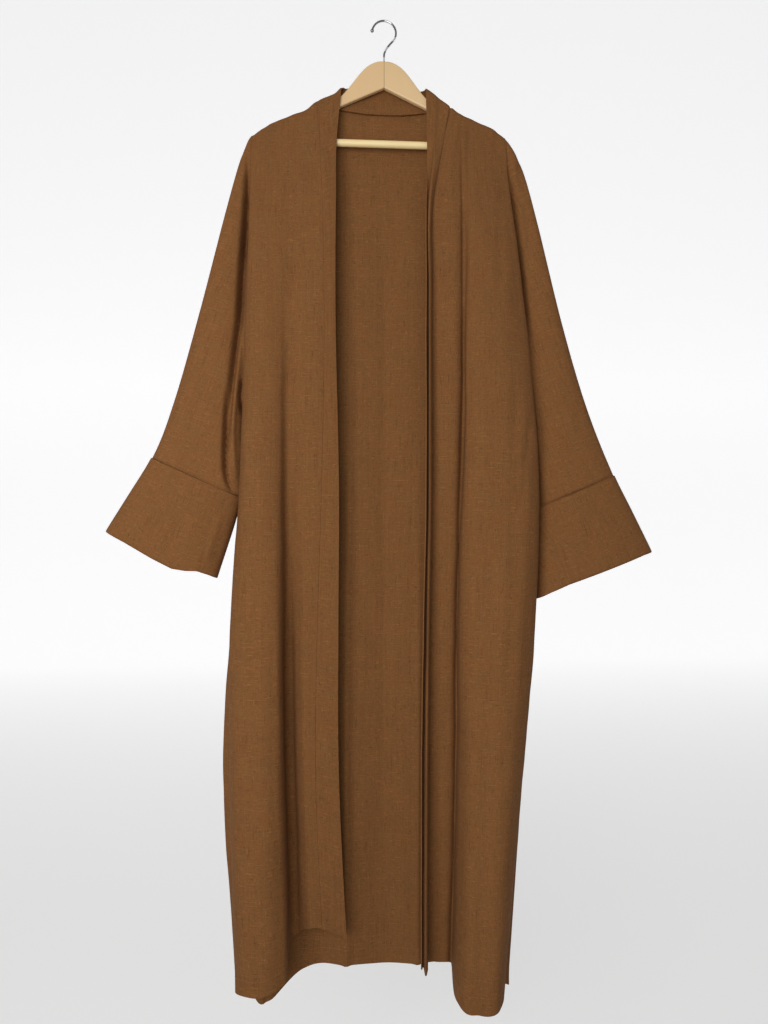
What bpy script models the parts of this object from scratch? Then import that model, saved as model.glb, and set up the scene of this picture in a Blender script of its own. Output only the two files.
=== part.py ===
"""An open kimono robe on a wooden hanger.

Metres, +Z up, +X to the viewer's right, -Y to the viewer. The origin is the inside of the hook's crown, where
a rail carries it. Right and left are the wearer's, so the right front is on the viewer's left.
The cloth hangs in upright folds. Each fold is a row in a table, with its place across and its place forward of
the hanger at six heights, and every panel is a wall through the sections that these rows give.
"""
from collections import namedtuple
import math

import bmesh
import bpy
from mathutils import Vector
import numpy as np

MM = 0.001
CLOTH = 1.2 * MM
DOUBLE_CLOTH = 1.8 * MM
SEAM_GAP = 0.3 * MM
WELD = 0.01 * MM

# The heights, below the hook, at which the fold tables give their sections
NECK, SHOULDER, CHEST, HIP, KNEE, HEM = 0.12, 0.21, 0.45, 0.80, 1.20, 1.60
STATIONS = (NECK, SHOULDER, CHEST, HIP, KNEE, HEM)
UNDERARM = 0.62
ARMHOLE_DEPTH = 23 * MM
ARMHOLE_END = 0.035

# The wooden hanger
ARM_REACH = 0.2185
ARM_THICK = 12 * MM
ARM_ROUNDING = 2.8 * MM
BAR_RADIUS = 6.0 * MM
BAR_DROP = 0.2032
BAR_REACH = 0.2055
BAR_SOCKET = BAR_RADIUS + SEAM_GAP
SOCKET_REACH = BAR_REACH + 0.5 * MM

# The wire hook: a round crown, an S-bend and a straight stem, with the angles in degrees
WIRE = 1.7 * MM
CROWN_RADIUS = 19.9 * MM
CROWN_START = 172
CROWN_END = -44
CROWN_STEP = 12
BEND_PULL = 30 * MM
BEND_STEPS = 8
BEND_END = 0.0560
STEM_PULL = 22 * MM
STEM_MIDDLE = 0.0660
STEM_END = 0.0790
BALL_RADIUS = 3.0 * MM
STEM_HOLE = WIRE + SEAM_GAP
STEM_HOLE_LENGTH = 0.040
STEM_HOLE_END = 0.0800
ROUND_SIDES = 24
HOLE_SIDES = 16
BALL_SIDES = 14
BALL_RINGS = 8

# How the cloth rolls over the arms, and how far down it takes to hang freely
ROLL = 8.6 * MM
FREE_DROP = 0.14
ARM_CLEARANCE = 3.6 * MM

# across and depth are in millimetres at the six heights: across from the middle, depth towards the viewer
Fold = namedtuple("Fold", "name across depth hem")

RIGHT_FRONT = (
    Fold("band edge", (71, 77, 82, 73, 75, 61), (11, 12, 0, 12, 18, 10), 1506),
    Fold("band middle", (85, 88, 86, 85, 90, 74), (12, 15, 14, 20, 23, 15), 1499),
    Fold("band crown", (97, 97, 91, 95, 102, 86), (12, 17, 24, 26, 26, 18), 1494),
    Fold("band seam", (108, 106, 97, 105, 114, 98), (12, 17, 30, 28, 27, 20), 1490),
    Fold("near column", (131, 132, 124, 132, 137, 122), (12, 16, 32, 34, 34, 22), 1489),
    Fold("gutter", (158, 158, 158, 158, 159, 147), (12, 15, 26, 22, 12, 3), 1515),
    Fold("gutter flank", (175, 175, 173, 173, 167, 153), (12, 15, 30, 36, 36, 42), 1545),
    Fold("side column", (197, 197, 197, 202, 202, 193), (12, 14, 32, 50, 66, 80), 1562),
    Fold("side turn", (212, 213, 214, 226, 237, 226), (10, 12, 29, 42, 52, 65), 1572),
    Fold("side fold", (217, 220, 223, 236, 250, 238), (8, 9, 20, 26, 30, 38), 1582),
    Fold("side seam", (219, 220, 226, 231, 246, 232), (5, 7, 9, 9, 9, 14), 1592),
)
LEFT_FRONT = (
    Fold("band edge", (68, 72, 72, 69, 66, 61), (11, 14, 4, 6, 10, 18), 1549),
    Fold("band middle", (82, 84, 70, 69, 67, 63), (12, 17, 24, 28, 32, 40), 1548),
    Fold("band crown", (94, 92, 71, 70, 69, 64), (12, 18, 38, 45, 49, 59), 1547),
    Fold("band seam", (108, 99, 77, 76, 75, 71), (12, 17, 33, 39, 43, 53), 1543),
    Fold("lip gutter", (117, 108, 81, 80, 80, 76), (12, 15, 25, 28, 31, 38), 1540),
    Fold("small column", (124, 119, 96, 93, 93, 89), (12, 17, 36, 42, 46, 50), 1541),
    Fold("gutter", (135, 132, 127, 123, 118, 113), (12, 14, 22, 20, 18, 20), 1560),
    Fold("big flank", (147, 146, 134, 128, 122, 111), (12, 16, 32, 38, 44, 56), 1585),
    Fold("big column", (170, 170, 175, 180, 165, 145), (12, 16, 40, 56, 72, 88), 1600),
    Fold("side turn", (198, 196, 212, 235, 208, 176), (11, 13, 34, 48, 60, 74), 1602),
    Fold("side fold", (216, 214, 227, 258, 230, 187), (8, 10, 22, 30, 34, 44), 1598),
    Fold("side seam", (219, 220, 231, 257, 228, 184), (5, 7, 9, 9, 10, 14), 1596),
)
# The back's folds between the two side seams, from the wearer's right to left, with across signed as X is and
# depth towards the wall. The side seams themselves are the fronts' last rows.
BACK = (
    Fold("right back fold", (-212, -213, -218, -231, -264, -249), (8, 16, 21, 12, 8, 8), 1603),
    Fold("right turn", (-190, -190, -198, -222, -246, -234), (10, 20, 28, 30, 28, 26), 1606),
    Fold("right valley", (-150, -150, -155, -168, -188, -188), (11, 21, 25, 22, 16, 4), 1608),
    Fold("right ridge", (-108, -108, -110, -118, -132, -132), (12, 22, 32, 34, 34, 33), 1610),
    Fold("right neck corner", (-101, -101, -103, -110, -122, -121), (12, 22, 32, 34, 34, 33), 1610),
    Fold("near valley", (-54, -54, -54, -58, -64, -62), (13, 23, 27, 28, 26, 22), 1611),
    Fold("middle ridge", (0, 0, 2, 2, 0, 2), (13, 23, 31, 34, 36, 36), 1611),
    Fold("far valley", (54, 54, 56, 60, 58, 56), (13, 23, 28, 28, 25, 22), 1610),
    Fold("left neck corner", (101, 101, 104, 115, 110, 102), (12, 22, 31, 34, 34, 33), 1608),
    Fold("left ridge", (108, 108, 112, 124, 118, 110), (12, 22, 31, 34, 34, 33), 1608),
    Fold("left valley", (150, 150, 158, 176, 166, 152), (11, 21, 26, 24, 18, 12), 1606),
    Fold("left turn", (190, 190, 204, 238, 216, 185), (10, 20, 28, 30, 29, 28), 1605),
    Fold("left back fold", (212, 213, 223, 258, 240, 207), (8, 16, 21, 12, 9, 9), 1602),
)
BAND_COLUMNS = 3

# The shoulder line over one arm: across and drop in millimetres
RidgePoint = namedtuple("RidgePoint", "across drop")
SHOULDER_LINE = (
    RidgePoint(0, 104.5), RidgePoint(45, 105.5), RidgePoint(69, 110), RidgePoint(96, 129),
    RidgePoint(125, 147), RidgePoint(154, 160), RidgePoint(190, 178), RidgePoint(207, 191), RidgePoint(220, 207),
)
# The band behind the neck, in millimetres: the place and drop of its seam, and its free edge with its depth
NeckRow = namedtuple("NeckRow", "name seam seam_drop edge edge_drop edge_depth")
NECK_ROWS = (
    NeckRow("middle", 0, 148.0, 0, 104.5, 13.5),
    NeckRow("near the middle", 30, 148.5, 24, 104.6, 13.5),
    NeckRow("back neck", 62, 149.5, 46, 105.5, 13.0),
    NeckRow("past the corner", 88, 150.0, 60, 107.0, 11.5),
    NeckRow("corner", 101, 149.0, 66, 108.6, 9.0),
    NeckRow("behind the arm", 104.5, 146.5, 68.3, 109.8, 5.5),
    NeckRow("over the arm", 108, 137.0, 69, 110.0, 0.0),
)

# One row for each ring of a sleeve, in millimetres: its outer and inner edge, and how far it stands out
SleeveRing = namedtuple("SleeveRing", "name outer outer_drop inner inner_drop front back edge_depth")
RIGHT_SLEEVE = (
    SleeveRing("armhole", 220, 207, 229, 620, 6, 18, 0),
    SleeveRing("shoulder end", 238, 252, 236, 644, 9, 18, 1),
    SleeveRing("upper arm", 262, 334, 239, 672, 16, 18, 3),
    SleeveRing("elbow", 301, 488, 241, 720, 24, 17, 4),
    SleeveRing("forearm", 341, 632, 243, 760, 27, 17, 4),
    SleeveRing("cuff top", 376, 727, 244, 791, 28, 17, 4),
    SleeveRing("cuff fold", 449, 846, 279, 921, 30, 18, 4),
)
LEFT_SLEEVE = (
    SleeveRing("armhole", 220, 207, 246, 620, 6, 18, 0),
    SleeveRing("shoulder end", 237, 252, 252, 650, 9, 18, 1),
    SleeveRing("upper arm", 259, 334, 258, 690, 16, 18, 3),
    SleeveRing("elbow", 299, 492, 264, 745, 22, 17, 4),
    SleeveRing("forearm", 343, 634, 267, 785, 25, 17, 4),
    SleeveRing("cuff top", 391, 757, 270, 818, 26, 17, 4),
    SleeveRing("cuff fold", 456, 882, 271, 956, 28, 18, 4),
)
CUFF_TOP_RING = 5
CUFF_LENGTH = 0.139
CUFF_STAND_OFF = 3.2 * MM
CUFF_RETURN = 0.014
RING_BLUNTNESS = 0.75
ARMHOLE_BLEND = 5.0
UNDERARM_FORWARD = 7 * MM

# The outline of one wooden arm, in millimetres: its top over the crown, its rounded end, and its underside back
# to the joint. Between the crown and the end its top follows the shoulder line.
OutlinePoint = namedtuple("OutlinePoint", "across drop")
ARM_CROWN = (
    OutlinePoint(0, 66.5), OutlinePoint(10, 67.5), OutlinePoint(20, 71.5), OutlinePoint(30, 78.5),
    OutlinePoint(40, 89), OutlinePoint(50, 102), OutlinePoint(60, 115), OutlinePoint(70, 126),
    OutlinePoint(82, 133.5), OutlinePoint(96, 139.5), OutlinePoint(110, 145.5),
)
ARM_END = (
    OutlinePoint(218.5, 208.5), OutlinePoint(218.5, 213), OutlinePoint(213.5, 217), OutlinePoint(202.5, 218),
)
ARM_UNDERSIDE = (
    OutlinePoint(188, 214), OutlinePoint(165, 196.5), OutlinePoint(140, 179), OutlinePoint(110, 163),
    OutlinePoint(72.5, 143.5), OutlinePoint(0, 110),
)
ARM_TOP_FROM = 0.125
ARM_TOP_STEPS = 7
ARM_TOP_END = ARM_REACH - 2 * ROLL / 3
ROUNDED_FROM = math.radians(50)
SHARP_FROM = math.radians(40)

# How finely each panel is divided
STEPS_PER_FOLD = 2
RING_SIDES = 24
SLEEVE_TOP_PLACES = (0, 0.04, 0.2, 0.45, 0.7)
SLEEVE_STEPS = 9
INSIDE_CUFF = 0.4
CUFF_STEPS = 5
FOLD_STEPS = 4
TOP_TRIES = 6
EDGE_DROPS = (0.0, 0.0005, 0.0022, 0.0050, 0.0090, 0.020, 0.045)
LEVELS = (
    0.30, 0.37, 0.44, 0.51, 0.57, 0.605, 0.62, 0.65, 0.71, 0.79, 0.87, 0.95, 1.03, 1.11, 1.19, 1.27, 1.35,
)
HEM_ROWS = (0.055, 0.0)


def smooth(knots, values, at):
    """Reads a soft curve through the values at the knots, one value or a row of them for each knot."""
    knots = np.asarray(knots, float)
    values = np.asarray(values, float)
    at = np.clip(np.asarray(at, float), knots[0], knots[-1])
    slopes = np.gradient(values, knots, axis=0)
    low = np.clip(np.searchsorted(knots, at, side="right") - 1, 0, len(knots) - 2)
    span = knots[low + 1] - knots[low]
    t = (at - knots[low]) / span
    extra = (1,) * (values.ndim - 1)
    t = t.reshape(t.shape + extra)
    span = span.reshape(span.shape + extra)
    start = (2 * t**3 - 3 * t**2 + 1) * values[low] + (t**3 - 2 * t**2 + t) * span * slopes[low]
    end = (3 * t**2 - 2 * t**3) * values[low + 1] + (t**3 - t**2) * span * slopes[low + 1]
    return start + end


def ease(t):
    """Goes softly from 0 to 1."""
    t = np.clip(t, 0.0, 1.0)
    return t * t * (3 - 2 * t)


def shoulder_drop(across):
    """How far below the hook the shoulder line is, at a distance from the middle."""
    points = np.array(SHOULDER_LINE) * MM
    return smooth(points[:, 0], points[:, 1], np.abs(across))


def back_table():
    """The back's folds with the two side seams, in the back's own signs."""
    right, left = RIGHT_FRONT[-1], LEFT_FRONT[-1]
    first = Fold("right side seam", tuple(-x for x in right.across), tuple(-d for d in right.depth), right.hem)
    last = Fold("left side seam", left.across, tuple(-d for d in left.depth), left.hem)
    return (first, *BACK, last)


def armhole_opening(columns, knots, drops):
    """How far the back's side edges stand behind the fronts' above the underarm, where the sleeves come in."""
    from_edge = np.minimum((columns - knots[0]) / (knots[1] - knots[0]),
                           (knots[-1] - columns) / (knots[-1] - knots[-2]))
    return ARMHOLE_DEPTH * ease((UNDERARM - drops) / ARMHOLE_END) * np.clip(1 - from_edge, 0, 1)


class Folds:
    """The sections of a fold table: where its cloth is, at any place across and any height."""

    def __init__(self, table, mirror=1.0, to_viewer=-1.0):
        across = np.array([fold.across for fold in table], float).T * MM * mirror
        depth = np.array([fold.depth for fold in table], float).T * MM * to_viewer
        self.sections = np.stack((across, depth), axis=2)
        self.hems = np.array([fold.hem for fold in table], float) * MM
        middle = self.sections[STATIONS.index(HIP)]
        steps = np.hypot(*np.diff(middle, axis=0).T)
        self.knots = np.concatenate(([0.0], np.cumsum(steps)))
        self.side = to_viewer

    def columns(self, first, last, steps):
        """The places across from one fold to another, evenly between folds."""
        spots = np.linspace(first, last, (last - first) * steps + 1)
        return np.interp(spots, range(len(self.knots)), self.knots)

    def weights(self, columns):
        return smooth(self.knots, np.eye(len(self.knots)), columns)

    def plan(self, columns, drops):
        """Across and depth for a grid of drops, one column of the grid for each place across."""
        sections = smooth(STATIONS, self.sections, drops)
        return np.einsum("rcnk,cn->rck", sections, self.weights(columns))

    def top(self, columns, top_line):
        """The drop of the upper edge of each column, where it meets the top line."""
        drop = np.full((1, len(columns)), 0.5 * (NECK + SHOULDER))
        for _ in range(TOP_TRIES):
            drop = top_line(self.plan(columns, drop)[..., 0])
        return drop[0]

    def hem(self, columns):
        return self.weights(columns) @ self.hems


def rolled(depth, side, below_ridge):
    """Brings cloth that hangs at a depth round over the arm, where it nears the shoulder line."""
    turn = np.clip(below_ridge / ROLL, 0.0, 1.0)
    over = side * ROLL * np.sqrt(1 - (1 - turn)**2)
    return over + (depth - side * ROLL) * ease(below_ridge / FREE_DROP)


def panel_points(folds, columns, top_line=shoulder_drop, armholes=False):
    """A grid of points on a hanging panel, from its upper edge to its hem."""
    top = folds.top(columns, top_line)
    hem = folds.hem(columns)
    rows = [top + drop for drop in EDGE_DROPS]
    rows += [np.full(len(columns), level) for level in LEVELS]
    rows += [hem - rise for rise in HEM_ROWS]
    drops = np.array(rows)
    plan = folds.plan(columns, drops)
    below = drops - shoulder_drop(plan[..., 0])
    hanging = plan[..., 1]
    if armholes:
        hanging = hanging + armhole_opening(columns, folds.knots, drops)
    depth = rolled(hanging, folds.side, below)
    return np.stack((plan[..., 0], depth, -drops), axis=2)


def set_back(points, rows=(0, 0), columns=(0, 0)):
    """Draws a grid's edges in, by one distance for each of its two end rows and two end columns."""
    points = points.copy()
    for edge, inner, distance in ((0, 1, rows[0]), (-1, -2, rows[1])):
        way = points[inner] - points[edge]
        points[edge] += way / np.linalg.norm(way, axis=1, keepdims=True) * distance
    for edge, inner, distance in ((0, 1, columns[0]), (-1, -2, columns[1])):
        way = points[:, inner] - points[:, edge]
        points[:, edge] += way / np.linalg.norm(way, axis=1, keepdims=True) * distance
    return points


def cloth(name, points, wall, closed=False):
    """Makes a named wall of cloth on a grid of points, open or closed round its columns."""
    rows, columns = points.shape[:2]
    mesh = bpy.data.meshes.new(name)
    sheet = bmesh.new()
    bmesh.ops.create_grid(sheet, x_segments=columns - 1, y_segments=rows - 1, size=0.5)
    for vertex in sheet.verts:
        column = round((vertex.co.x + 0.5) * (columns - 1))
        row = round((vertex.co.y + 0.5) * (rows - 1))
        vertex.co = Vector(points[row, column])
    if closed:
        bmesh.ops.remove_doubles(sheet, verts=sheet.verts, dist=WELD)
    bmesh.ops.recalc_face_normals(sheet, faces=sheet.faces)
    sheet.to_mesh(mesh)
    sheet.free()
    mesh.shade_smooth()
    piece = bpy.data.objects.new(name, mesh)
    parts.objects.link(piece)
    solidify = piece.modifiers.new("wall", "SOLIDIFY")
    solidify.thickness = wall
    solidify.offset = 0.0
    return piece


def finish(piece, colour, roughness, metallic=0.0):
    """Gives a piece its own plain material."""
    material = bpy.data.materials.new(piece.name)
    material.use_nodes = True
    shader = material.node_tree.nodes["Principled BSDF"]
    shader.inputs["Base Color"].default_value = (*colour, 1.0)
    shader.inputs["Roughness"].default_value = roughness
    shader.inputs["Metallic"].default_value = metallic
    piece.data.materials.clear()
    piece.data.materials.append(material)


BROWN = (0.18, 0.085, 0.030)
PALE_WOOD = (0.60, 0.40, 0.20)
CHROME = (0.62, 0.62, 0.63)
CLOTH_ROUGHNESS = 0.85
WOOD_ROUGHNESS = 0.45
CHROME_ROUGHNESS = 0.22
HALF_GAP = SEAM_GAP / 2
RIDGE_SET_BACK = HALF_GAP + 0.45 * MM
BAND_SET_BACK = HALF_GAP + 0.30 * MM
SIDE_SET_BACK = HALF_GAP + 0.45 * MM
ARMHOLE_SET_BACK = 1.5 * MM


def make_front(name, folds):
    """A front panel, from the band's seam to the side seam and the armhole."""
    last = len(folds.knots) - 1
    points = panel_points(folds, folds.columns(BAND_COLUMNS, last, STEPS_PER_FOLD))
    points = set_back(points, rows=(RIDGE_SET_BACK, 0), columns=(BAND_SET_BACK, SIDE_SET_BACK))
    finish(cloth(name, points, CLOTH), BROWN, CLOTH_ROUGHNESS)


def back_top(across):
    """The upper edge of the back: the neck seam in the middle, and the shoulder line beyond it."""
    seam = np.array([(row.seam, row.seam_drop) for row in NECK_ROWS]) * MM
    neck = np.interp(np.abs(across), seam[:, 0], seam[:, 1])
    return np.where(np.abs(across) < seam[-1, 0], neck, shoulder_drop(across))


def back_points(folds):
    return panel_points(folds, folds.columns(0, len(folds.knots) - 1, STEPS_PER_FOLD), back_top, armholes=True)


def make_back(folds):
    """The back panel, with its upper edge along the shoulders and the neck seam."""
    points = set_back(back_points(folds), rows=(RIDGE_SET_BACK, 0), columns=(SIDE_SET_BACK, SIDE_SET_BACK))
    finish(cloth("back", points, CLOTH), BROWN, CLOTH_ROUGHNESS)


def neck_points(back, ridge, width_steps):
    """The band's stretch behind the neck, along the back's upper edge from the arm to the middle."""
    names = [fold.name for fold in back_table()]
    first, last = names.index(ridge) * STEPS_PER_FOLD, names.index("middle ridge") * STEPS_PER_FOLD
    step = 1 if last > first else -1
    seam = back_points(back)[0][first:last + step if last + step >= 0 else None:step]
    rows = np.array([row[1:] for row in NECK_ROWS], float) * MM
    edge = smooth(rows[:, 0], rows[:, 2:], np.abs(seam[:, 0]))
    edge = np.stack((edge[:, 0] * np.sign(seam[0, 0]), edge[:, 2], -edge[:, 1]), axis=1)
    share = np.linspace(0, 1, width_steps + 1)[None, :, None]
    return edge[:, None] * (1 - share) + seam[:, None] * share


def make_band(name, folds, back, ridge):
    """Half of the neck and front band: up the front, over the arm and round to the middle of the back neck."""
    columns = folds.columns(0, BAND_COLUMNS, STEPS_PER_FOLD)
    front = panel_points(folds, columns)
    behind = neck_points(back, ridge, len(columns) - 1)
    points = np.concatenate((front[::-1], behind[1:]), axis=0)
    points = set_back(points, rows=(0, HALF_GAP), columns=(0, BAND_SET_BACK))
    finish(cloth(name, points, DOUBLE_CLOTH), BROWN, CLOTH_ROUGHNESS)


def sleeve_ring(table, place, stand_off=0.0):
    """A ring's two edges and its depths at a place along the sleeve, moved out by stand_off."""
    rows = np.array([ring[1:] for ring in table], float) * MM
    outer, outer_drop, inner, inner_drop, front, back, edge = smooth(range(len(rows)), rows, place)
    start = np.array((outer, outer_drop))
    end = np.array((inner, inner_drop))
    along = (end - start) / np.linalg.norm(end - start)
    return start - along * stand_off, end + along * stand_off, front + stand_off, back + stand_off, edge


def sleeve_points(table, places, mirror, side_line, stand_offs=None):
    """Rings of points round a sleeve, one for each place along it."""
    angle = np.linspace(0, 2 * math.pi, RING_SIDES + 1)
    share = (1 - np.cos(angle)) / 2
    bulge = np.sign(np.sin(angle)) * np.abs(np.sin(angle))**RING_BLUNTNESS
    rings = []
    for index, place in enumerate(places):
        stand_off = stand_offs[index] if stand_offs is not None else 0.0
        start, end, front, back, edge = sleeve_ring(table, place, stand_off)
        across = start[0] + (end[0] - start[0]) * share
        drops = start[1] + (end[1] - start[1]) * share
        fit = max(0.0, 1 - place * ARMHOLE_BLEND)
        across = across * (1 - fit) + (side_line(drops) + SEAM_GAP + ARMHOLE_SET_BACK) * fit
        middle = edge * np.sin(angle / 2)**2 - UNDERARM_FORWARD * share * fit
        depth = middle - np.where(bulge > 0, front, back) * bulge
        rings.append(np.stack((mirror * across, depth, -drops), axis=1))
    return np.array(rings)


def make_sleeve(side, table, mirror, folds):
    """A sleeve and its turned-back cuff, whose inner layer meets the sleeve's end just inside the fold."""
    def side_line(drops):
        return np.abs(smooth(STATIONS, folds.sections[:, -1, 0], drops))

    fold_place = len(table) - 1
    end = fold_place - (CUFF_RETURN + 2 * SEAM_GAP) / CUFF_LENGTH
    middle = np.linspace(1, CUFF_TOP_RING, SLEEVE_STEPS + 1)
    places = (*SLEEVE_TOP_PLACES, *middle, CUFF_TOP_RING + INSIDE_CUFF, end)
    points = sleeve_points(table, places, mirror, side_line)
    finish(cloth("sleeve_" + side, points, CLOTH, closed=True), BROWN, CLOTH_ROUGHNESS)

    turn = np.linspace(0, math.pi, FOLD_STEPS + 1)[1:]
    down = np.linspace(CUFF_TOP_RING, fold_place, CUFF_STEPS + 1)
    round_fold = fold_place + 0.5 * CUFF_STAND_OFF / CUFF_LENGTH * np.sin(turn)
    places = (*down, *round_fold, fold_place - CUFF_RETURN / CUFF_LENGTH)
    stand_offs = (*np.full(len(down), CUFF_STAND_OFF), *(CUFF_STAND_OFF * (1 + np.cos(turn)) / 2), 0.0)
    points = sleeve_points(table, places, mirror, side_line, stand_offs)
    finish(cloth("cuff_" + side, points, DOUBLE_CLOTH, closed=True), BROWN, CLOTH_ROUGHNESS)


def cylinder(name, radius, length, sides, centre, turned_to_x=False):
    """A round bar, upright or lying along X."""
    mesh = bpy.data.meshes.new(name)
    shape = bmesh.new()
    bmesh.ops.create_cone(shape, cap_ends=True, segments=sides, radius1=radius, radius2=radius, depth=length)
    shape.to_mesh(mesh)
    shape.free()
    mesh.shade_smooth()
    mesh.set_sharp_from_angle(angle=SHARP_FROM)
    piece = bpy.data.objects.new(name, mesh)
    piece.location = centre
    if turned_to_x:
        piece.rotation_euler = (0, math.pi / 2, 0)
    return piece


def arm_outline():
    """The outline of one wooden arm, in metres across and down, from the joint out along its top and back."""
    far = np.linspace(ARM_TOP_FROM, ARM_TOP_END, ARM_TOP_STEPS)
    shoulder = np.stack((far, shoulder_drop(far) + ARM_CLEARANCE), axis=1)
    crown, end, underside = (np.array(points, float) * MM for points in (ARM_CROWN, ARM_END, ARM_UNDERSIDE))
    return np.concatenate((crown, shoulder, end, underside))


def make_arm(name, mirror, cutters):
    """Half of the wooden hanger, cut from a board, with rounded edges and sockets for the bar and the stem."""
    curve = bpy.data.curves.new(name, "CURVE")
    curve.dimensions = "2D"
    curve.fill_mode = "BOTH"
    curve.extrude = ARM_THICK / 2
    spline = curve.splines.new("POLY")
    outline = arm_outline()
    spline.points.add(len(outline) - 1)
    for point, (across, drop) in zip(spline.points, outline):
        point.co = (mirror * max(across, SEAM_GAP / 2), -drop, 0, 1)
    spline.use_cyclic_u = True
    flat = bpy.data.objects.new(name + "_outline", curve)
    flat.rotation_euler = (math.pi / 2, 0, 0)
    bpy.context.scene.collection.objects.link(flat)
    bpy.context.view_layer.update()
    mesh = bpy.data.meshes.new_from_object(flat.evaluated_get(bpy.context.evaluated_depsgraph_get()))
    board = bmesh.new()
    board.from_mesh(mesh)
    bmesh.ops.remove_doubles(board, verts=board.verts, dist=WELD)
    bmesh.ops.recalc_face_normals(board, faces=board.faces)
    board.to_mesh(mesh)
    board.free()
    mesh.transform(flat.matrix_world)
    bpy.data.objects.remove(flat)
    arm = bpy.data.objects.new(name, mesh)
    parts.objects.link(arm)
    bevel = arm.modifiers.new("rounded edges", "BEVEL")
    bevel.width = ARM_ROUNDING
    bevel.segments = 2
    bevel.limit_method = "ANGLE"
    bevel.angle_limit = ROUNDED_FROM
    for cutter in cutters:
        cut = arm.modifiers.new("cut for " + cutter.name, "BOOLEAN")
        cut.operation = "DIFFERENCE"
        cut.object = cutter
    finish(arm, PALE_WOOD, WOOD_ROUGHNESS)


def make_hanger():
    """The two arms, the bar let into both, and the hook whose stem sits in their joint."""
    socket = cylinder("bar_socket_cutter", BAR_SOCKET, 2 * SOCKET_REACH, ROUND_SIDES, (0, 0, -BAR_DROP), True)
    stem_middle = STEM_HOLE_LENGTH / 2 - STEM_HOLE_END
    stem_hole = cylinder("stem_hole_cutter", STEM_HOLE, STEM_HOLE_LENGTH, HOLE_SIDES, (0, 0, stem_middle))
    for cutter in (socket, stem_hole):
        cutters.objects.link(cutter)
        cutter.hide_render = True
        cutter.display_type = "WIRE"
    make_arm("hanger_arm_right", -1, (socket, stem_hole))
    make_arm("hanger_arm_left", 1, (socket, stem_hole))
    bar = cylinder("hanger_bar", BAR_RADIUS, 2 * BAR_REACH, ROUND_SIDES, (0, 0, -BAR_DROP), True)
    parts.objects.link(bar)
    finish(bar, PALE_WOOD, WOOD_ROUGHNESS)
    make_hook()


def hook_route():
    """The wire's centre line, across and up, from the ball end over the crown and down the stem."""
    angles = np.radians(np.arange(CROWN_START, CROWN_END - 1, -CROWN_STEP))
    crown = CROWN_RADIUS * np.stack((np.cos(angles), np.sin(angles)), axis=1)
    crown[:, 1] += WIRE - CROWN_RADIUS
    leave = BEND_PULL * np.array((math.sin(angles[-1]), -math.cos(angles[-1])))
    end = np.array((0.0, -BEND_END))
    arrive = np.array((0.0, -STEM_PULL))
    t = np.linspace(0, 1, BEND_STEPS + 1)[1:, None]
    bend = (2 * t**3 - 3 * t**2 + 1) * crown[-1] + (t**3 - 2 * t**2 + t) * leave
    bend += (3 * t**2 - 2 * t**3) * end + (t**3 - t**2) * arrive
    stem = np.array(((0.0, -STEM_MIDDLE), (0.0, -STEM_END)))
    return np.concatenate((crown, bend, stem))


def make_hook():
    """The chrome wire with the ball on its end."""
    curve = bpy.data.curves.new("hanger_hook", "CURVE")
    curve.dimensions = "3D"
    curve.bevel_depth = WIRE
    curve.bevel_resolution = 2
    curve.use_fill_caps = True
    route = hook_route()
    spline = curve.splines.new("POLY")
    spline.points.add(len(route) - 1)
    for point, (across, height) in zip(spline.points, route):
        point.co = (across, 0, height, 1)
    wire = bpy.data.objects.new("hook_wire", curve)
    bpy.context.scene.collection.objects.link(wire)
    bpy.context.view_layer.update()
    mesh = bpy.data.meshes.new_from_object(wire.evaluated_get(bpy.context.evaluated_depsgraph_get()))
    body = bmesh.new()
    body.from_mesh(mesh)
    bmesh.ops.remove_doubles(body, verts=body.verts, dist=WELD)
    bmesh.ops.recalc_face_normals(body, faces=body.faces)
    body.to_mesh(mesh)
    body.free()
    mesh.shade_smooth()
    bpy.data.objects.remove(wire)
    hook = bpy.data.objects.new("hanger_hook", mesh)
    parts.objects.link(hook)

    ball_mesh = bpy.data.meshes.new("hook_ball")
    ball = bmesh.new()
    bmesh.ops.create_uvsphere(ball, u_segments=BALL_SIDES, v_segments=BALL_RINGS, radius=BALL_RADIUS)
    ball.to_mesh(ball_mesh)
    ball.free()
    ball_piece = bpy.data.objects.new("hook_ball_cutter", ball_mesh)
    ball_piece.location = (route[0][0], 0, route[0][1])
    ball_piece.hide_render = True
    ball_piece.display_type = "WIRE"
    cutters.objects.link(ball_piece)
    join = hook.modifiers.new("ball end", "BOOLEAN")
    join.operation = "UNION"
    join.object = ball_piece
    finish(hook, CHROME, CHROME_ROUGHNESS, metallic=1.0)


for old in list(bpy.data.objects):
    bpy.data.objects.remove(old)
parts = bpy.data.collections.new("kimono_robe_on_hanger")
cutters = bpy.data.collections.new("cutters")
bpy.context.scene.collection.children.link(parts)
bpy.context.scene.collection.children.link(cutters)

right_folds = Folds(RIGHT_FRONT, mirror=-1.0)
left_folds = Folds(LEFT_FRONT)
back_folds = Folds(back_table(), to_viewer=1.0)
make_front("front_right", right_folds)
make_front("front_left", left_folds)
make_back(back_folds)
make_band("band_right", right_folds, back_folds, "right ridge")
make_band("band_left", left_folds, back_folds, "left ridge")
make_sleeve("right", RIGHT_SLEEVE, -1.0, right_folds)
make_sleeve("left", LEFT_SLEEVE, 1.0, left_folds)
make_hanger()
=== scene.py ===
"""An open kimono robe of brown slubbed linen on a wooden hanger.

Metres, +Z up, +X to the viewer's right, -Y to the viewer, with the origin inside the hook's crown. Right and
left are the wearer's. The tables of folds, sleeves and neck follow those that the solids are made from, with
more heights and folds.
"""
from collections import namedtuple
import math

import bpy
import numpy as np
from mathutils import Matrix


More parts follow.
